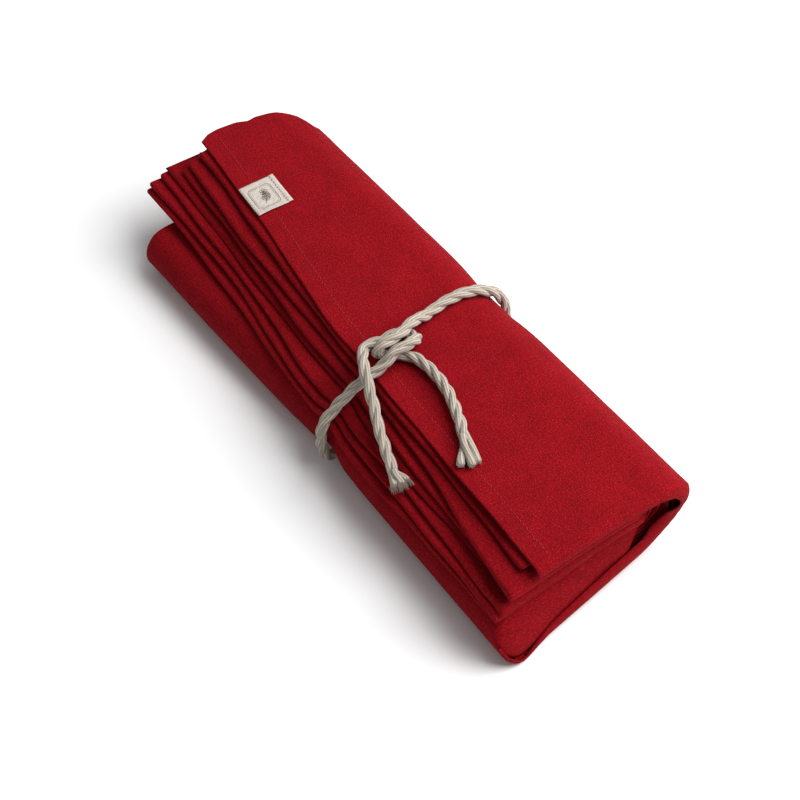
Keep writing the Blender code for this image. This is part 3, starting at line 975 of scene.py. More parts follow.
FACE = (PLY == 1) & ((PANEL == "middle") | ((PANEL == "left fold") & (LAYER >= LOW_MIDDLE)))


def face_points(y, near, roots, rolled):
    """(x, z) of one row of the broad face, from its top to behind the floor lip."""
    t = rolled / LIP_ROWS
    mirror = np.clip(FACE_TOP - LAYER, 0, LAYERS)
    share = mirror / FACE_TOP
    end_x = plain_near(0, y) * (1 - share) + plain_near(FACE_TOP, y) * share + FACE_END_OUT
    end_z = height(mirror, end_x, y) + THICK + FACE_CLEAR * (1 - share)
    drop = np.maximum(roots - end_z, 0.0)
    most = FACE_OUT * np.maximum(end_x - near, 0.0) + FACE_OUT_LEAST
    out = np.minimum(FACE_BULGE * drop, most)
    x = cubic(t, near, near + out, end_x + FACE_HEEL, end_x)
    z = cubic(t, roots, roots - FACE_SHOULDER * drop, roots - FACE_KNEE * drop, roots - drop)
    here = (1 - ease_in((y - FACE_TO_Y) / FACE_FADE)) * ease_in(drop / FACE_SMALL)
    return here * x + (1 - here) * (near + BARE_LIP * t), here * z + (1 - here) * roots


print("stops on the face:", int(FACE.sum()))

# %% [markdown]
# ## Rows
#
# The rows of the grid lie across the bundle. They are closer at the tie, where the cloth
# is drawn in, and at both ends. The last ones follow the lips and the face.

# %% Rows along the bundle
FAR_ROWS = (0.0, 0.004, 0.010, 0.022, 0.045, 0.053, 0.080, 0.115, 0.150, 0.190, 0.230, 0.270,
            0.310, 0.350, 0.390, 0.430, 0.470, 0.510, 0.550, 0.590, 0.630, 0.670, 0.710, 0.745,
            0.780, 0.810, 0.840, 0.870, 0.900, 0.925, 0.950, 0.975)
TIE_ROWS = tuple(np.linspace(-GROOVE_RAMP, GROOVE_RAMP, 13))
NEAR_ROWS = (0.025, 0.055, 0.090, 0.125, 0.165, 0.205, 0.250, 0.295, 0.345, 0.395, 0.445,
             0.495, 0.550, 0.605, 0.660, 0.715, 0.770, 0.820, 0.870, 0.910, 0.945, 0.975, 1.0)


def row_x(row, far, near, y):
    """X of a row, before any lip."""
    tie = tie_x(y)
    if row < len(FAR_ROWS):
        return far + (tie + TIE_ROWS[0] - far) * FAR_ROWS[row]
    row -= len(FAR_ROWS)
    if row < len(TIE_ROWS):
        return tie + TIE_ROWS[row]
    row = min(row - len(TIE_ROWS), len(NEAR_ROWS) - 1)
    return tie + TIE_ROWS[-1] + (near - tie - TIE_ROWS[-1]) * NEAR_ROWS[row]


def strip_grid():
    """Middle of the strip: points[row, stop]."""
    rows = len(FAR_ROWS) + len(TIE_ROWS) + len(NEAR_ROWS) + LIP_ROWS
    grid = np.zeros((rows, len(GUIDE), 3))
    y_guide = np.array([stop[2] for stop in GUIDE])
    hem_far, hem_near = far_reach(y_guide)[0], near_reach(y_guide)[0]
    for row in range(rows):
        hem_x = float(row_x(row, hem_far, hem_near, y_guide[0]))
        y = np.array([stop[2] for stop in strip_route(hem_x)])
        near = near_reach(y)
        x = row_x(row, far_reach(y), near, y)
        z = height(LAYER, x, y)
        grid[row] = np.stack([x, y, z], axis=1)
        rolled = row - (rows - LIP_ROWS) + 1
        if rolled > 0:
            face_x, face_z = face_points(y, near, z, rolled)
            grid[row] += lip_offsets(y, rolled) * ~FACE[:, None]
            grid[row, FACE, 0], grid[row, FACE, 2] = face_x[FACE], face_z[FACE]
    return grid


points = strip_grid()
print("grid:", points.shape, "low", round(float(points[..., 2].min()), 4))

# %% [markdown]
# ## Thickness, hem and rim
#
# A hem is the cloth turned under twice, so along the strip's two free ends the sheet
# is thicker for twelve millimetres, and a little thicker at both ends of the bundle. A
# woven edge is also never square: the rim of every layer is rounded by thinning the sheet
# over its last half millimetre or so.

# %% Thickness and normals
SHARPEST_MITRE = 0.75     # cosine of half a bend, at its tightest
HEM_WIDTH = 0.0120
HEM_EXTRA = 0.00042       # a hem is this much thicker than one layer
HEM_STEP = 0.0004         # over which it thins to one layer
END_EXTRA = 0.6           # of a hem's extra, at the ends of the bundle
FAR_END_WIDE, NEAR_END_WIDE = 0.8 * HEM_WIDTH, 1.5 * HEM_WIDTH
RIM_WIDE, RIM_SHARE = 0.0006, 0.45    # of the thickness, left at a rim
FLAT_ENOUGH = 60.0        # past this exponent a step is complete


def middles(points, axis):
    """Heading at each point of a grid's lines: the mean of those before and after."""
    steps = unit(np.diff(points, axis=axis))
    pad = [(0, 0)] * 3
    pad[axis] = (1, 0)
    before = np.pad(steps, pad, mode="edge")
    pad[axis] = (0, 1)
    after = np.pad(steps, pad, mode="edge")
    mean = unit(before + after)
    return mean, (mean * before).sum(axis=-1)


def sheet_normals(points):
    """Normals of the sheet, longer where it bends so that its thickness holds."""
    across, half_bend = middles(points, 1)
    along, _ = middles(points, 0)
    mitre = 1.0 / np.clip(half_bend, SHARPEST_MITRE, 1.0)
    return unit(np.cross(along, across)) * mitre[..., None]


def strip_lengths(points):
    """Metres along the strip at each stop, and along the bundle at each row."""
    across = np.linalg.norm(np.diff(points, axis=1), axis=2)
    v = np.concatenate([np.zeros((len(points), 1)), np.cumsum(across, axis=1)], axis=1)
    down = np.linalg.norm(np.diff(points, axis=0), axis=2)
    u = np.concatenate([points[:1, :, 0], points[:1, :, 0] + np.cumsum(down, axis=0)])
    return u, v


def in_hem(distance, width):
    """1 inside a hem of a width, 0 past it, with a soft step between."""
    return 1 / (1 + np.exp(np.minimum((distance - width) / HEM_STEP, FLAT_ENOUGH)))


def sheet_thickness(u, v):
    """Thickness everywhere: more in the hems, less at the rims."""
    to_hem = np.minimum(v, v[:, -1:] - v)
    to_far, to_near = u - u[:1], u[-1:] - u
    to_end = np.minimum(to_far, to_near)
    at_ends = np.maximum(in_hem(to_far, FAR_END_WIDE), in_hem(to_near, NEAR_END_WIDE))
    rim = np.clip(np.minimum(to_hem, to_end) / RIM_WIDE, 0, 1)
    body = THICK + HEM_EXTRA * np.maximum(in_hem(to_hem, HEM_WIDTH), END_EXTRA * at_ends)
    return body * (RIM_SHARE + (1 - RIM_SHARE) * np.sqrt(rim))


print("thickness in mm:", 1000 * THICK, "in a hem:", 1000 * (THICK + HEM_EXTRA))

# %% [markdown]
# ## The closed sheet
#
# A sheet with one face would vanish from behind and have no edge. Each middle point is
# pushed half the thickness to both sides, and a rim of quads closes the two faces all
# round. The UV map holds metres along the bundle and metres along the strip, so that the
# weave keeps its size round every fold.

# %% The sheet


def sheet_faces(rows, stops):
    """Both faces of a grid and the rim round it."""
    other = rows * stops

    def at(row, stop, side=0):
        return row * stops + stop + side * other

    faces = []
    for r in range(rows - 1):
        for k in range(stops - 1):
            faces.append((at(r, k), at(r, k + 1), at(r + 1, k + 1), at(r + 1, k)))
            faces.append((at(r, k, 1), at(r + 1, k, 1), at(r + 1, k + 1, 1), at(r, k + 1, 1)))
    for k in range(stops - 1):
        faces.append((at(0, k + 1), at(0, k), at(0, k, 1), at(0, k + 1, 1)))
        faces.append((at(rows - 1, k), at(rows - 1, k + 1),
                      at(rows - 1, k + 1, 1), at(rows - 1, k, 1)))
    for r in range(rows - 1):
        faces.append((at(r, 0), at(r + 1, 0), at(r + 1, 0, 1), at(r, 0, 1)))
        faces.append((at(r + 1, stops - 1), at(r, stops - 1),
                      at(r, stops - 1, 1), at(r + 1, stops - 1, 1)))
    return faces


def sheet_object(name, points, normals, thickness, u, v):
    """A closed sheet round a grid of middle points."""
    half = normals * thickness[..., None] / 2
    verts = np.concatenate([(points - half).reshape(-1, 3), (points + half).reshape(-1, 3)])
    uvs = np.tile(np.stack([u, v], axis=-1).reshape(-1, 2), (2, 1))
    return link_mesh(name, verts, sheet_faces(*points.shape[:2]), uvs)


normals = sheet_normals(points)
strip_u, strip_v = strip_lengths(points)
cloth = sheet_object("folded_cloth", points, normals,
                     sheet_thickness(strip_u, strip_v), strip_u, strip_v)
print_piece(cloth)
print(f"strip: {strip_v[:, -1].min():.2f} to {strip_v[:, -1].max():.2f} m long")

# %% [markdown]
# ## Hem stitches
#
# The hem is held by a row of short lockstitches, close to twelve millimetres in from the
# edge. Each stitch is a short bent thread of a few dozen faces that dips into the cloth at
# both ends. It is placed on the flap by the same height function that shaped the flap, so
# a stitch can't float above it or drown in it.

# %% Stitches
STITCH_LONG, STITCH_GAP, THREAD = 0.0023, 0.0010, 0.00021
STITCH_IN = 0.0113        # from the hem's edge
STITCH_ENDS = (-0.206, 0.199)
STITCH_TAPER = (0.5, 1.0, 1.1, 1.0, 0.5)
STITCH_SIDES = 6
STITCH_RISE, STITCH_SINK = 1.1, 0.35    # in thread radii: its bow, and its ends' depth


def flap_point(x, from_hem, above=0.0):
    """A point on top of the flap, a distance in from its hem."""
    y = edge_y(TOP, x) + WAIST_IN * float(near_tie(x, 0.0)) + from_hem
    thick = THICK + HEM_EXTRA * float(in_hem(from_hem, HEM_WIDTH))
    return np.array((x, y, float(height(TOP, x, y)) + thick / 2 + above))


def stitch(start_x, surface, long, thread):
    """One short thread along X on a surface, which gives a point for X and height."""
    line = []
    for share in np.linspace(0, 1, len(STITCH_TAPER)):
        above = thread * (STITCH_RISE * math.sin(math.pi * share) - STITCH_SINK)
        line.append(surface(start_x + long * share, above))
    return sweep(np.array(line), thread * np.array(STITCH_TAPER), STITCH_SIDES)


def on_hem(x, above):
    return flap_point(x, STITCH_IN, above)


starts = np.arange(*STITCH_ENDS, STITCH_LONG + STITCH_GAP)
stitches = tubes_object("hem_stitches", [stitch(x, on_hem, STITCH_LONG, THREAD) for x in starts])
print_piece(stitches)

# %% [markdown]
# ## The label
#
# A woven tape is folded under at its inner side and sewn down along both sides. It lies on
# the hem's thickness, so it isn't flat: its near edge stands a little off the cloth. It is
# a grid that follows the flap, with the fold, the crease beside it, the lift and a rounded
# rim added.

# %% Label
LABEL_X, LABEL_LONG, LABEL_WIDE = -0.1560, 0.0300, 0.0265
LABEL_ROWS, LABEL_STOPS = 31, 29
LABEL_THICK = 0.0006
LABEL_RIM, LABEL_RIM_SHARE = 0.0009, 0.35    # width, and share of the thickness left
LABEL_ABOVE = 0.00055     # middle of the tape above the cloth
LABEL_LIFT, LIFTED = 0.0012, 0.28    # how far the near edge stands off, and what share
LIFT_LEAST = 0.45         # of the lift, at the inner corner; it is whole nearer the hem
LIFT_START, LIFT_RUN = 0.25, 0.9     # of half a wave, at the hem and across the label
LABEL_FOLD, FOLD_EXTRA = 0.0032, 0.00042    # width of the sewn fold on its inner side
CREASE, CREASE_WIDE = 0.00022, 0.0006
LABEL_WAVE, LABEL_WAVE_RATE, LABEL_SKEW = 0.0006, 140, 0.0004    # its cut isn't straight


def label_point(along, aside, above=0.0):
    """A point on the label: metres from its far edge and from the hem."""
    lift = LABEL_LIFT * np.clip(along / LABEL_LONG - 1 + LIFTED, 0, 1) ** 2 / LIFTED ** 2
    wave = np.clip(aside / LABEL_WIDE * LIFT_RUN + LIFT_START, 0, 1)
    lift *= LIFT_LEAST + (1 - LIFT_LEAST) * np.sin(math.pi * wave)
    fold_at = LABEL_WIDE - LABEL_FOLD
    crease = CREASE * math.exp(-((fold_at - aside) / CREASE_WIDE) ** 2)
    fold = FOLD_EXTRA if aside > fold_at else 0.0
    skew = LABEL_WAVE * math.sin(LABEL_WAVE_RATE * along) + LABEL_SKEW * (aside / LABEL_WIDE)
    place = flap_point(LABEL_X + along + skew, aside)
    return place + np.array((0, 0, LABEL_ABOVE + lift - crease + fold + above))


row_at, stop_at = np.linspace(0, LABEL_LONG, LABEL_ROWS), np.linspace(0, LABEL_WIDE, LABEL_STOPS)
label_points = np.array([[label_point(along, aside) for aside in stop_at] for along in row_at])
label_up = np.broadcast_to(UP, label_points.shape)
label_u, label_v = np.meshgrid(row_at, stop_at, indexing="ij")
rim = np.minimum(np.minimum(label_u, LABEL_LONG - label_u),
                 np.minimum(label_v, LABEL_WIDE - label_v))
rim_share = LABEL_RIM_SHARE + (1 - LABEL_RIM_SHARE) * np.clip(rim / LABEL_RIM, 0, 1)
label_piece = sheet_object("hem_label", label_points, label_up, LABEL_THICK * rim_share,
                           label_u, label_v)
print_piece(label_piece)

# %% [markdown]
# ## The label's seams
#
# The label is sewn down along both of its sides with the same kind of stitch as the hem,
# only shorter and finer. One seam runs on its fold, the other at the hem's edge.

# %% Label seams
SEAM_LONG, SEAM_STEP, SEAM_THREAD = 0.0017, 0.0026, 0.00017
SEAM_FROM, SEAM_TO = 0.0012, 0.0025    # in from the label's far and near ends
FOLD_SEAM, HEM_SEAM = LABEL_WIDE - LABEL_FOLD + 0.0001, 0.0011    # in from the hem
HEM_SEAM_SUNK = 0.0001    # the tape is thinner there


def on_fold(x, above):
    return label_point(x, FOLD_SEAM, above + LABEL_THICK / 2)


def on_hem_side(x, above):
    return label_point(x, HEM_SEAM, above + LABEL_THICK / 2 - HEM_SEAM_SUNK)


label_seams = tubes_object("label_stitches", [
    stitch(x, side, SEAM_LONG, SEAM_THREAD) for side in (on_fold, on_hem_side)
    for x in np.arange(SEAM_FROM, LABEL_LONG - SEAM_TO, SEAM_STEP)])
print_piece(label_seams)

# %% [markdown]
# ## Bands of ink
#
# The print is drawn as thin flat bands a twentieth of a millimetre above the tape. A leaf,
# a petal and the frame are closed bands, the stem and the veins are open ones. Each band
# lays its points on the label with `label_point`, so it follows the tape.

# %% Bands
INK_ABOVE = LABEL_THICK / 2 + 0.00005
LEAF_STOPS = 9
LEAF_FULLEST = 0.8        # below 1, a leaf is widest before its middle


def band(line, width, closed):
    """Flat quads along a line on the label, given as (along, aside)."""
    line = np.array(line)
    if closed:
        ahead = np.roll(line, -1, axis=0) - np.roll(line, 1, axis=0)
    else:
        ahead = np.gradient(line, axis=0)
    normal = unit(np.stack([-ahead[:, 1], ahead[:, 0]], axis=1))
    verts = [label_point(*(place + side * width * sign), INK_ABOVE)
             for place, side in zip(line, normal) for sign in (-0.5, 0.5)]
    count = len(line)
    ends = [(k, (k + 1) % count) for k in range(count if closed else count - 1)]
    return verts, [(2 * k, 2 * n, 2 * n + 1, 2 * k + 1) for k, n in ends]


def pointing(heading):
    return np.array((math.cos(heading), math.sin(heading)))


def leaf_outline(root, heading, long, wide):
    """A narrow leaf's outline, from its root and back to it."""
    ahead = pointing(heading)
    side = np.array((-ahead[1], ahead[0]))
    t = np.linspace(0, 1, LEAF_STOPS)
    half = [side * wide * math.sin(math.pi * s ** LEAF_FULLEST) / 2 for s in t]
    spine = [root + ahead * long * s for s in t]
    out = [place + away for place, away in zip(spine, half)]
    back = [place - away for place, away in zip(spine, half)]
    return out + back[-2:0:-1]


def evened(outline, count):
    """Evenly spaced points along a closed outline."""
    closed = np.vstack([outline, outline[:1]])
    along = lengths_along(closed)
    at = np.linspace(0, along[-1], count + 1)[:-1]
    return np.stack([np.interp(at, along, closed[:, k]) for k in (0, 1)], axis=1)


print("ink lies", 1000 * (INK_ABOVE - LABEL_THICK / 2), "mm above the tape")

# %% [markdown]
# ## The label's print
#
# The print is a sprig of flax: a curved stem, pairs of narrow leaves and a flower of five
# petals, inside a plain square frame of two lines with soft corners.

# %% Sprig
STROKE = 0.00034
STEM_FROM, STEM_TO, STEM_BOW = (0.0212, 0.0098), (0.0106, 0.0132), (0.0, 0.0016)
STEM_STOPS, STEM_STROKE = 14, 1.2 * STROKE
LEAVES_AT, LEAF_APART = (0.16, 0.30, 0.44, 0.58, 0.72), 0.04    # shares of the stem
LEAF_TURN, LEAF_LONG, LEAF_SHORTER, LEAF_WIDE = 0.75, 0.0048, 0.0005, 0.0019
VEIN_AT, VEIN_STROKE = (0.1, 0.45, 0.8), 0.7 * STROKE
PETALS, PETAL_LONG, PETAL_WIDE = 5, 0.0030, 0.0022
FRAME_MIDDLE = (0.0154, 0.0117)
FRAMES = (
    # half length, half width, stroke
    (0.0104,       0.0085,     STROKE),
    (0.0094,       0.0075,     0.6 * STROKE),
)
FRAME_SOFTNESS = 0.30     # 1 for an ellipse, near 0 for sharp corners
FRAME_TURNS, FRAME_STOPS = 72, 96    # so many stops let the frame follow the tape


def stem_point(t):
    start, end = np.array(STEM_FROM), np.array(STEM_TO)
    return start + (end - start) * t + np.array(STEM_BOW) * math.sin(math.pi * t)


def frame_point(half_long, half_wide, turn):
    along, aside = math.cos(turn), math.sin(turn)
    return (FRAME_MIDDLE[0] + math.copysign(half_long * abs(along) ** FRAME_SOFTNESS, along),
            FRAME_MIDDLE[1] + math.copysign(half_wide * abs(aside) ** FRAME_SOFTNESS, aside))


drawn = [band([stem_point(t) for t in np.linspace(0, 1, STEM_STOPS)], STEM_STROKE, False)]
stem_heading = math.atan2(STEM_TO[1] - STEM_FROM[1], STEM_TO[0] - STEM_FROM[0])
for number, t in enumerate(LEAVES_AT):
    long = LEAF_LONG - LEAF_SHORTER * number
    for side in (-1, 1):
        root = stem_point(t + LEAF_APART * (side > 0))
        heading = stem_heading + side * LEAF_TURN
        drawn.append(band(leaf_outline(root, heading, long, LEAF_WIDE), STROKE, True))
        vein = [root + pointing(heading) * long * share for share in VEIN_AT]
        drawn.append(band(vein, VEIN_STROKE, False))
for petal in range(PETALS):
    heading = stem_heading + petal * 2 * math.pi / PETALS
    outline = leaf_outline(stem_point(1.0), heading, PETAL_LONG, PETAL_WIDE)
    drawn.append(band(outline, STROKE, True))
for half_long, half_wide, stroke in FRAMES:
    turns = np.linspace(0, 2 * math.pi, FRAME_TURNS, endpoint=False)
    outline = evened([frame_point(half_long, half_wide, turn) for turn in turns], FRAME_STOPS)
    drawn.append(band(outline, stroke, True))

ink_verts, ink_faces = [], []
for verts, faces in drawn:
    ink_faces += [tuple(len(ink_verts) + i for i in face) for face in faces]
    ink_verts += verts
ink = link_mesh("label_sprig", ink_verts, ink_faces, [v[:2] for v in ink_verts], smooth=False)
print_piece(ink)

# %% [markdown]
# ## Colours and materials
#
# Colours are written as sRGB hex, as a designer picks them on a screen, and turned to the
# linear values that shaders work in. One helper adds a shader node together with its
# settings and its links, so that a material reads as a list of what it does.
#
# Some nodes have several sockets of one name, and these are given by number. A math node
# has 0 to 2. A mix node's colours are 6 and 7, and come out of 2. A map range node turns
# its value, 0, from the range 1 to 2 into the range 3 to 4.

# %% Colours and nodes


def colour(hex_code):
    """Linear colour with full alpha from an sRGB hex code."""
    channels = [int(hex_code[i:i + 2], 16) / 255 for i in (0, 2, 4)]
    linear = [c / 12.92 if c <= 0.04045 else ((c + 0.055) / 1.055) ** 2.4 for c in channels]
    return (*linear, 1.0)


def add(tree, kind, settings=None, inputs=None):
    """A node with its settings, and its inputs set or linked."""
    made = tree.nodes.new(kind)
    for name, value in (settings or {}).items():
        setattr(made, name, value)
    for socket, value in (inputs or {}).items():
        if isinstance(value, bpy.types.NodeSocket):
            tree.links.new(value, made.inputs[socket])
        else:
            made.inputs[socket].default_value = value
    return made


def new_material(name, roughness, ior):
    """A material with its tree and its Principled shader."""
    made = bpy.data.materials.new(name)
    made.use_nodes = True
    shader = made.node_tree.nodes["Principled BSDF"]
    shader.inputs["Roughness"].default_value = roughness
    shader.inputs["IOR"].default_value = ior
    return made, made.node_tree, shader


print("half of white on a screen is", round(colour("808080")[0], 3), "in linear light")

# %% [markdown]
# ## Linen
#
# Linen is woven from flax in a plain weave, over one and under one. Its yarn is uneven:
# thick places, called slubs, run along single threads, and fibres that took less dye
# catch the light as pale flecks. Cloth like this has a thread every half millimetre or
# so. That is too fine to show, so the threads are drawn at twice that width.
#
# The pattern reads the strip's own UV map, which is in metres, so a thread follows the
# cloth round every fold. It has three parts: the weave, which tilts the surface, single
# threads that are lighter or darker over a centimetre or so, and soft unevenness. Linen
# is nearly matt, so it has hardly any shine and only a trace of sheen.

# %% Linen
LINEN_LIT, LINEN_MID, LINEN_DEEP = colour("B22635"), colour("84070F"), colour("6A050B")
THREAD_SPACING = 0.00115
THREAD_CHANGES = 85.0     # along a thread, per metre: its tone lasts about 12 mm
FLECKS = 1150.0           # per metre, so a fleck is a little under a millimetre
CLOUDS = 38.0             # per metre, so a cloud is about 26 mm


def threads(tree, across, along, seed):
    """Noise that is constant along a thread for a while: one value for each thread."""
    count = add(tree, "ShaderNodeMath", {"operation": "DIVIDE"}, {
        0: across, 1: THREAD_SPACING}).outputs[0]
    change = add(tree, "ShaderNodeMath", {"operation": "MULTIPLY"}, {
        0: along, 1: THREAD_CHANGES}).outputs[0]
    place = add(tree, "ShaderNodeCombineXYZ", None, {0: count, 1: change, 2: seed}).outputs[0]
    return add(tree, "ShaderNodeTexNoise", {"noise_dimensions": "3D"}, {
        "Vector": place, "Scale": 1.0, "Detail": 2.0, "Roughness": 0.6}).outputs[0]


def linen(name):
    made, tree, shader = new_material(name, roughness=0.9, ior=1.5)
    uv = add(tree, "ShaderNodeUVMap", {"uv_map": "cloth"}).outputs[0]
    u, v = add(tree, "ShaderNodeSeparateXYZ", None, {0: uv}).outputs[:2]

    # the weave: one sine along the threads, one across them, and their product
    sines = []
    for axis in (u, v):
        phase = add(tree, "ShaderNodeMath", {"operation": "MULTIPLY"}, {
            0: axis, 1: math.pi / THREAD_SPACING}).outputs[0]
        sines.append(add(tree, "ShaderNodeMath", {"operation": "SINE"}, {0: phase}).outputs[0])
    weave = add(tree, "ShaderNodeMath", {"operation": "MULTIPLY"}, dict(enumerate(sines)))
    over = add(tree, "ShaderNodeMath", {"operation": "ABSOLUTE"}, {0: weave.outputs[0]})

    warp = threads(tree, v, u, 0.0)
    weft = threads(tree, u, v, 7.0)
    single = add(tree, "ShaderNodeMath", {"operation": "ADD"}, {0: warp, 1: weft})
    flecks = add(tree, "ShaderNodeTexNoise", None, {
        "Vector": uv, "Scale": FLECKS, "Detail": 1.0, "Roughness": 0.6}).outputs[0]
    cloudy = add(tree, "ShaderNodeTexNoise", None, {
        "Vector": uv, "Scale": CLOUDS, "Detail": 3.0, "Roughness": 0.55}).outputs[0]

    body = add(tree, "ShaderNodeMapRange", None, {
        0: single.outputs[0], 1: 0.72, 2: 1.28, 3: 0.0, 4: 1.0})
    base = add(tree, "ShaderNodeMix", {"data_type": "RGBA"}, {
        "Factor": body.outputs[0], 6: LINEN_DEEP, 7: LINEN_MID})
    pale = add(tree, "ShaderNodeMapRange", None, {0: flecks, 1: 0.50, 2: 0.78, 3: 0.0, 4: 0.75})
    flecked = add(tree, "ShaderNodeMix", {"data_type": "RGBA"}, {
        "Factor": pale.outputs[0], 6: base.outputs[2], 7: LINEN_LIT})
    tone = add(tree, "ShaderNodeMapRange", None, {0: cloudy, 1: 0.3, 2: 0.7, 3: 0.90, 4: 1.08})
    toned = add(tree, "ShaderNodeHueSaturation", None, {
        "Color": flecked.outputs[2], "Value": tone.outputs[0]})
    tree.links.new(toned.outputs[0], shader.inputs["Base Color"])

    relief = add(tree, "ShaderNodeMath", {"operation": "MULTIPLY_ADD"}, {
        0: single.outputs[0], 1: 0.8, 2: over.outputs[0]})
    bump = add(tree, "ShaderNodeBump", None, {
        "Strength": 0.55, "Distance": 0.00028, "Height": relief.outputs[0]})
    tree.links.new(bump.outputs[0], shader.inputs["Normal"])
    shader.inputs["Specular IOR Level"].default_value = 0.05
    shader.inputs["Sheen Weight"].default_value = 0.01
    shader.inputs["Sheen Roughness"].default_value = 0.5
    shader.inputs["Sheen Tint"].default_value = colour("E08A90")
    return made


cloth.data.materials.append(linen("red plain-weave linen"))
print("linen on", cloth.name, "with", round(0.001 / THREAD_SPACING, 2), "threads to a mm")

# %% [markdown]
# ## Sewing thread and tape
#
# Thread dyed to match its cloth is painted a little brighter than the cloth, as painted
# light on a smooth thread that stands proud. It is twisted from plies, which show as
# slanting bands of painted shade and highlight, half a millimetre apart. The label is
# unbleached cotton tape. Its rib is drawn about a millimetre wide, because a true one would
# be too fine to show, and it is mottled as unbleached cotton is.
# A wave node's bands lie 0.31 of a metre apart at scale 1, or twice that if diagonal.

# %% Thread and tape
PLY_BANDS = (1400.0, 2.0, 1.0)    # along the thread, round it
RIBS = 330.0              # scale of the rib's wave
MOTTLES = 420.0           # per metre, so a mottle is a little over 2 mm


def sewing_thread(name, dark, light):
    made, tree, shader = new_material(name, roughness=0.6, ior=1.5)
    uv = add(tree, "ShaderNodeUVMap", {"uv_map": "cloth"}).outputs[0]
    place = add(tree, "ShaderNodeVectorMath", {"operation": "MULTIPLY"}, {0: uv, 1: PLY_BANDS})
    # painted shade and highlight: the ply bands run from the darker colour to the lighter one
    ply = add(tree, "ShaderNodeTexWave", {"bands_direction": "DIAGONAL"}, {
        "Vector": place.outputs[0], "Scale": 1.0})
    shade = add(tree, "ShaderNodeMix", {"data_type": "RGBA"}, {
        "Factor": ply.outputs["Fac"], 6: colour(dark), 7: colour(light)})
    tree.links.new(shade.outputs[2], shader.inputs["Base Color"])
    return made


def woven_tape(name):
    made, tree, shader = new_material(name, roughness=0.85, ior=1.5)
    uv = add(tree, "ShaderNodeUVMap", {"uv_map": "cloth"}).outputs[0]
    rib = add(tree, "ShaderNodeTexWave", {"bands_direction": "X"}, {
        "Vector": uv, "Scale": RIBS, "Distortion": 0.6, "Detail": 1.0})
    mottle = add(tree, "ShaderNodeTexNoise", None, {
        "Vector": uv, "Scale": MOTTLES, "Detail": 3.0})
    mixed = add(tree, "ShaderNodeMath", {"operation": "MULTIPLY_ADD"}, {
        0: rib.outputs["Fac"], 1: 0.5, 2: mottle.outputs[0]})
    shade = add(tree, "ShaderNodeMapRange", None, {0: mixed.outputs[0], 1: 0.4, 2: 1.1})
    tone = add(tree, "ShaderNodeMix", {"data_type": "RGBA"}, {
        "Factor": shade.outputs[0], 6: colour("A69B90"), 7: colour("CBC2B8")})
    tree.links.new(tone.outputs[2], shader.inputs["Base Color"])
    bump = add(tree, "ShaderNodeBump", None, {
        "Strength": 0.4, "Distance": 0.0001, "Height": mixed.outputs[0]})
    tree.links.new(bump.outputs[0], shader.inputs["Normal"])
    return made


# painted light: the red thread's two colours are a little brighter than the linen's, for a
# thread that stands proud
stitches.data.materials.append(sewing_thread("red sewing thread", "8C0F18", "A82633"))
label_seams.data.materials.append(sewing_thread("ecru sewing thread", "7A7066", "A0968B"))
label_piece.data.materials.append(woven_tape("unbleached cotton tape"))
print("thread and tape on", stitches.name, label_seams.name, label_piece.name)

# %% [markdown]
# ## Ink and cord
#
# The print is a dull brown ink that has worn a little thin in places. The cord is undyed
# flax and cotton: each strand is spun from many yarns, twisted the other way from the
# strands' own lay, which gives fine slanting lines. Painted shade darkens the grooves
# between the yarns, and patches of dust tint the cord here and there.
# Its loose fibres soften the light a little, which a low sheen gives.

# %% Ink and cord
YARNS = 7                 # seen round one strand
YARN_TURN = 330.0         # radians per metre, so a yarn goes round once in 133 mm
FIBRES, PATCHES = 1500.0, 160.0    # per metre: two thirds of a mm, and 6 mm


def printed_ink(name):
    made, tree, shader = new_material(name, roughness=0.75, ior=1.45)
    place = add(tree, "ShaderNodeTexCoord").outputs["Object"]
    worn = add(tree, "ShaderNodeTexNoise", None, {"Vector": place, "Scale": 900.0})
    tone = add(tree, "ShaderNodeMix", {"data_type": "RGBA"}, {
        "Factor": worn.outputs[0], 6: colour("35302F"), 7: colour("59514D")})
    tree.links.new(tone.outputs[2], shader.inputs["Base Color"])
    return made


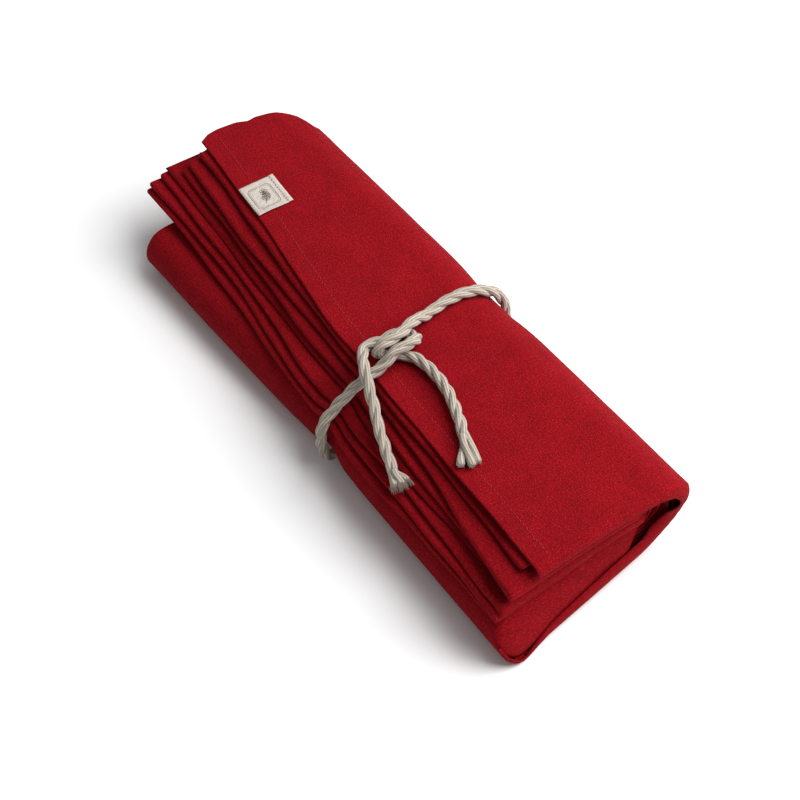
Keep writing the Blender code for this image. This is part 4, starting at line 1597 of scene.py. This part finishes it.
def undyed_cord(name):
    made, tree, shader = new_material(name, roughness=0.85, ior=1.5)
    uv = add(tree, "ShaderNodeUVMap", {"uv_map": "cloth"}).outputs[0]
    axes = add(tree, "ShaderNodeSeparateXYZ", None, {0: uv})
    slant = add(tree, "ShaderNodeMath", {"operation": "MULTIPLY"}, {
        0: axes.outputs[0], 1: YARN_TURN})
    twist = add(tree, "ShaderNodeMath", {"operation": "MULTIPLY_ADD"}, {
        0: axes.outputs[1], 1: 2 * math.pi * YARNS, 2: slant.outputs[0]})
    yarns = add(tree, "ShaderNodeMath", {"operation": "SINE"}, {0: twist.outputs[0]})
    place = add(tree, "ShaderNodeTexCoord").outputs["Object"]
    fibres = add(tree, "ShaderNodeTexNoise", None, {
        "Vector": place, "Scale": FIBRES, "Detail": 3.0, "Roughness": 0.7})
    patches = add(tree, "ShaderNodeTexNoise", None, {
        "Vector": place, "Scale": PATCHES, "Detail": 2.0})
    relief = add(tree, "ShaderNodeMath", {"operation": "MULTIPLY_ADD"}, {
        0: yarns.outputs[0], 1: 0.35, 2: fibres.outputs[0]})
    # painted shade: the colour darkens where the yarns' sine is low, in the grooves between them
    shade = add(tree, "ShaderNodeMapRange", None, {0: relief.outputs[0], 1: 0.2, 2: 0.8})
    tone = add(tree, "ShaderNodeMix", {"data_type": "RGBA"}, {
        "Factor": shade.outputs[0], 6: colour("857B6F"), 7: colour("B9AEA1")})
    dusty = add(tree, "ShaderNodeMapRange", None, {
        0: patches.outputs[0], 1: 0.35, 2: 0.75, 3: 0.0, 4: 0.35})
    cast = add(tree, "ShaderNodeMix", {"data_type": "RGBA"}, {
        "Factor": dusty.outputs[0], 6: tone.outputs[2], 7: colour("988D7D")})
    tree.links.new(cast.outputs[2], shader.inputs["Base Color"])
    bump = add(tree, "ShaderNodeBump", None, {
        "Strength": 0.6, "Distance": 0.00035, "Height": relief.outputs[0]})
    tree.links.new(bump.outputs[0], shader.inputs["Normal"])
    shader.inputs["Sheen Weight"].default_value = 0.15
    return made


ink.data.materials.append(printed_ink("dull brown printing ink"))
cord_look = undyed_cord("undyed flax cord")
for piece in (cord_piece, right_end, left_end):
    piece.data.materials.append(cord_look)
print("materials:", sorted(made.name for made in bpy.data.materials if made.users))

# %% [markdown]
# ## The pieces on the frame
#
# The imported solids stay in the frame for weight and collision, but hidden, and each drawn
# piece rides on the frame's root body.

# %% Hand over to the frame
LINEN_SLOT, TAPE_SLOT, CORD_SLOT = "linen", "label_tape", "cord_fibre"
for piece, slot in ((cloth, LINEN_SLOT), (stitches, LINEN_SLOT), (label_piece, TAPE_SLOT),
                    (label_seams, TAPE_SLOT), (ink, TAPE_SLOT), (cord_piece, CORD_SLOT),
                    (right_end, CORD_SLOT), (left_end, CORD_SLOT)):
    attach(piece, "root")
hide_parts("tablecloth")
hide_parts("label")
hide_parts("tie_cord")

# %% [markdown]
# ## Floor and light
#
# A white sheet lies under the bundle. One large soft lamp stands high on the camera's
# right and gives the soft shadow on the left. The white room fills the rest, and a very
# weak lamp beside the camera lifts the near end's shadows by a trace.

# %% Studio
FLOOR_HALF = 3.0
FLOOR_DROP = 0.0004
ROOM_STRENGTH = 0.31
WHITE = "FFFFFF"
LAMPS = (
    # name     turn  rise (degrees)  away  size  watts
    ("key",    60,   50,             1.5,  1.6,  47.5),
    ("front", -40,   50,             2.0,  1.2,  0.15),
)


def lamp(name, turn, rise, away, size, watts):
    """A square soft lamp that faces the middle of the bundle."""
    data = bpy.data.lights.new(name, "AREA")
    data.size, data.energy, data.color = size, watts, colour(WHITE)[:3]
    made = bpy.data.objects.new(name, data)
    bpy.context.scene.collection.objects.link(made)
    made.location = from_aim(away, math.radians(rise), math.radians(turn))
    made.rotation_euler = (AIM - made.location).to_track_quat("-Z", "Y").to_euler()


bpy.ops.object.select_all(action="DESELECT")
bpy.ops.mesh.primitive_plane_add(size=2 * FLOOR_HALF, location=(0, 0, -FLOOR_DROP))
floor = bpy.context.object
floor.name = "studio_floor"
bpy.ops.object.transform_apply(location=True, rotation=False, scale=False)
paper, _, paper_shader = new_material("matt white paper", roughness=0.9, ior=1.45)
paper_shader.inputs["Base Color"].default_value = colour("F4F4F4")
paper_shader.inputs["Specular IOR Level"].default_value = 0.1
floor.data.materials.append(paper)

world = bpy.data.worlds.new("white room")
bpy.context.scene.world = world
world.use_nodes = True
room = world.node_tree.nodes["Background"]
room.inputs["Color"].default_value = colour(WHITE)
room.inputs["Strength"].default_value = ROOM_STRENGTH
for row in LAMPS:
    lamp(*row)
print("lamps:", [light.name for light in bpy.data.lights])
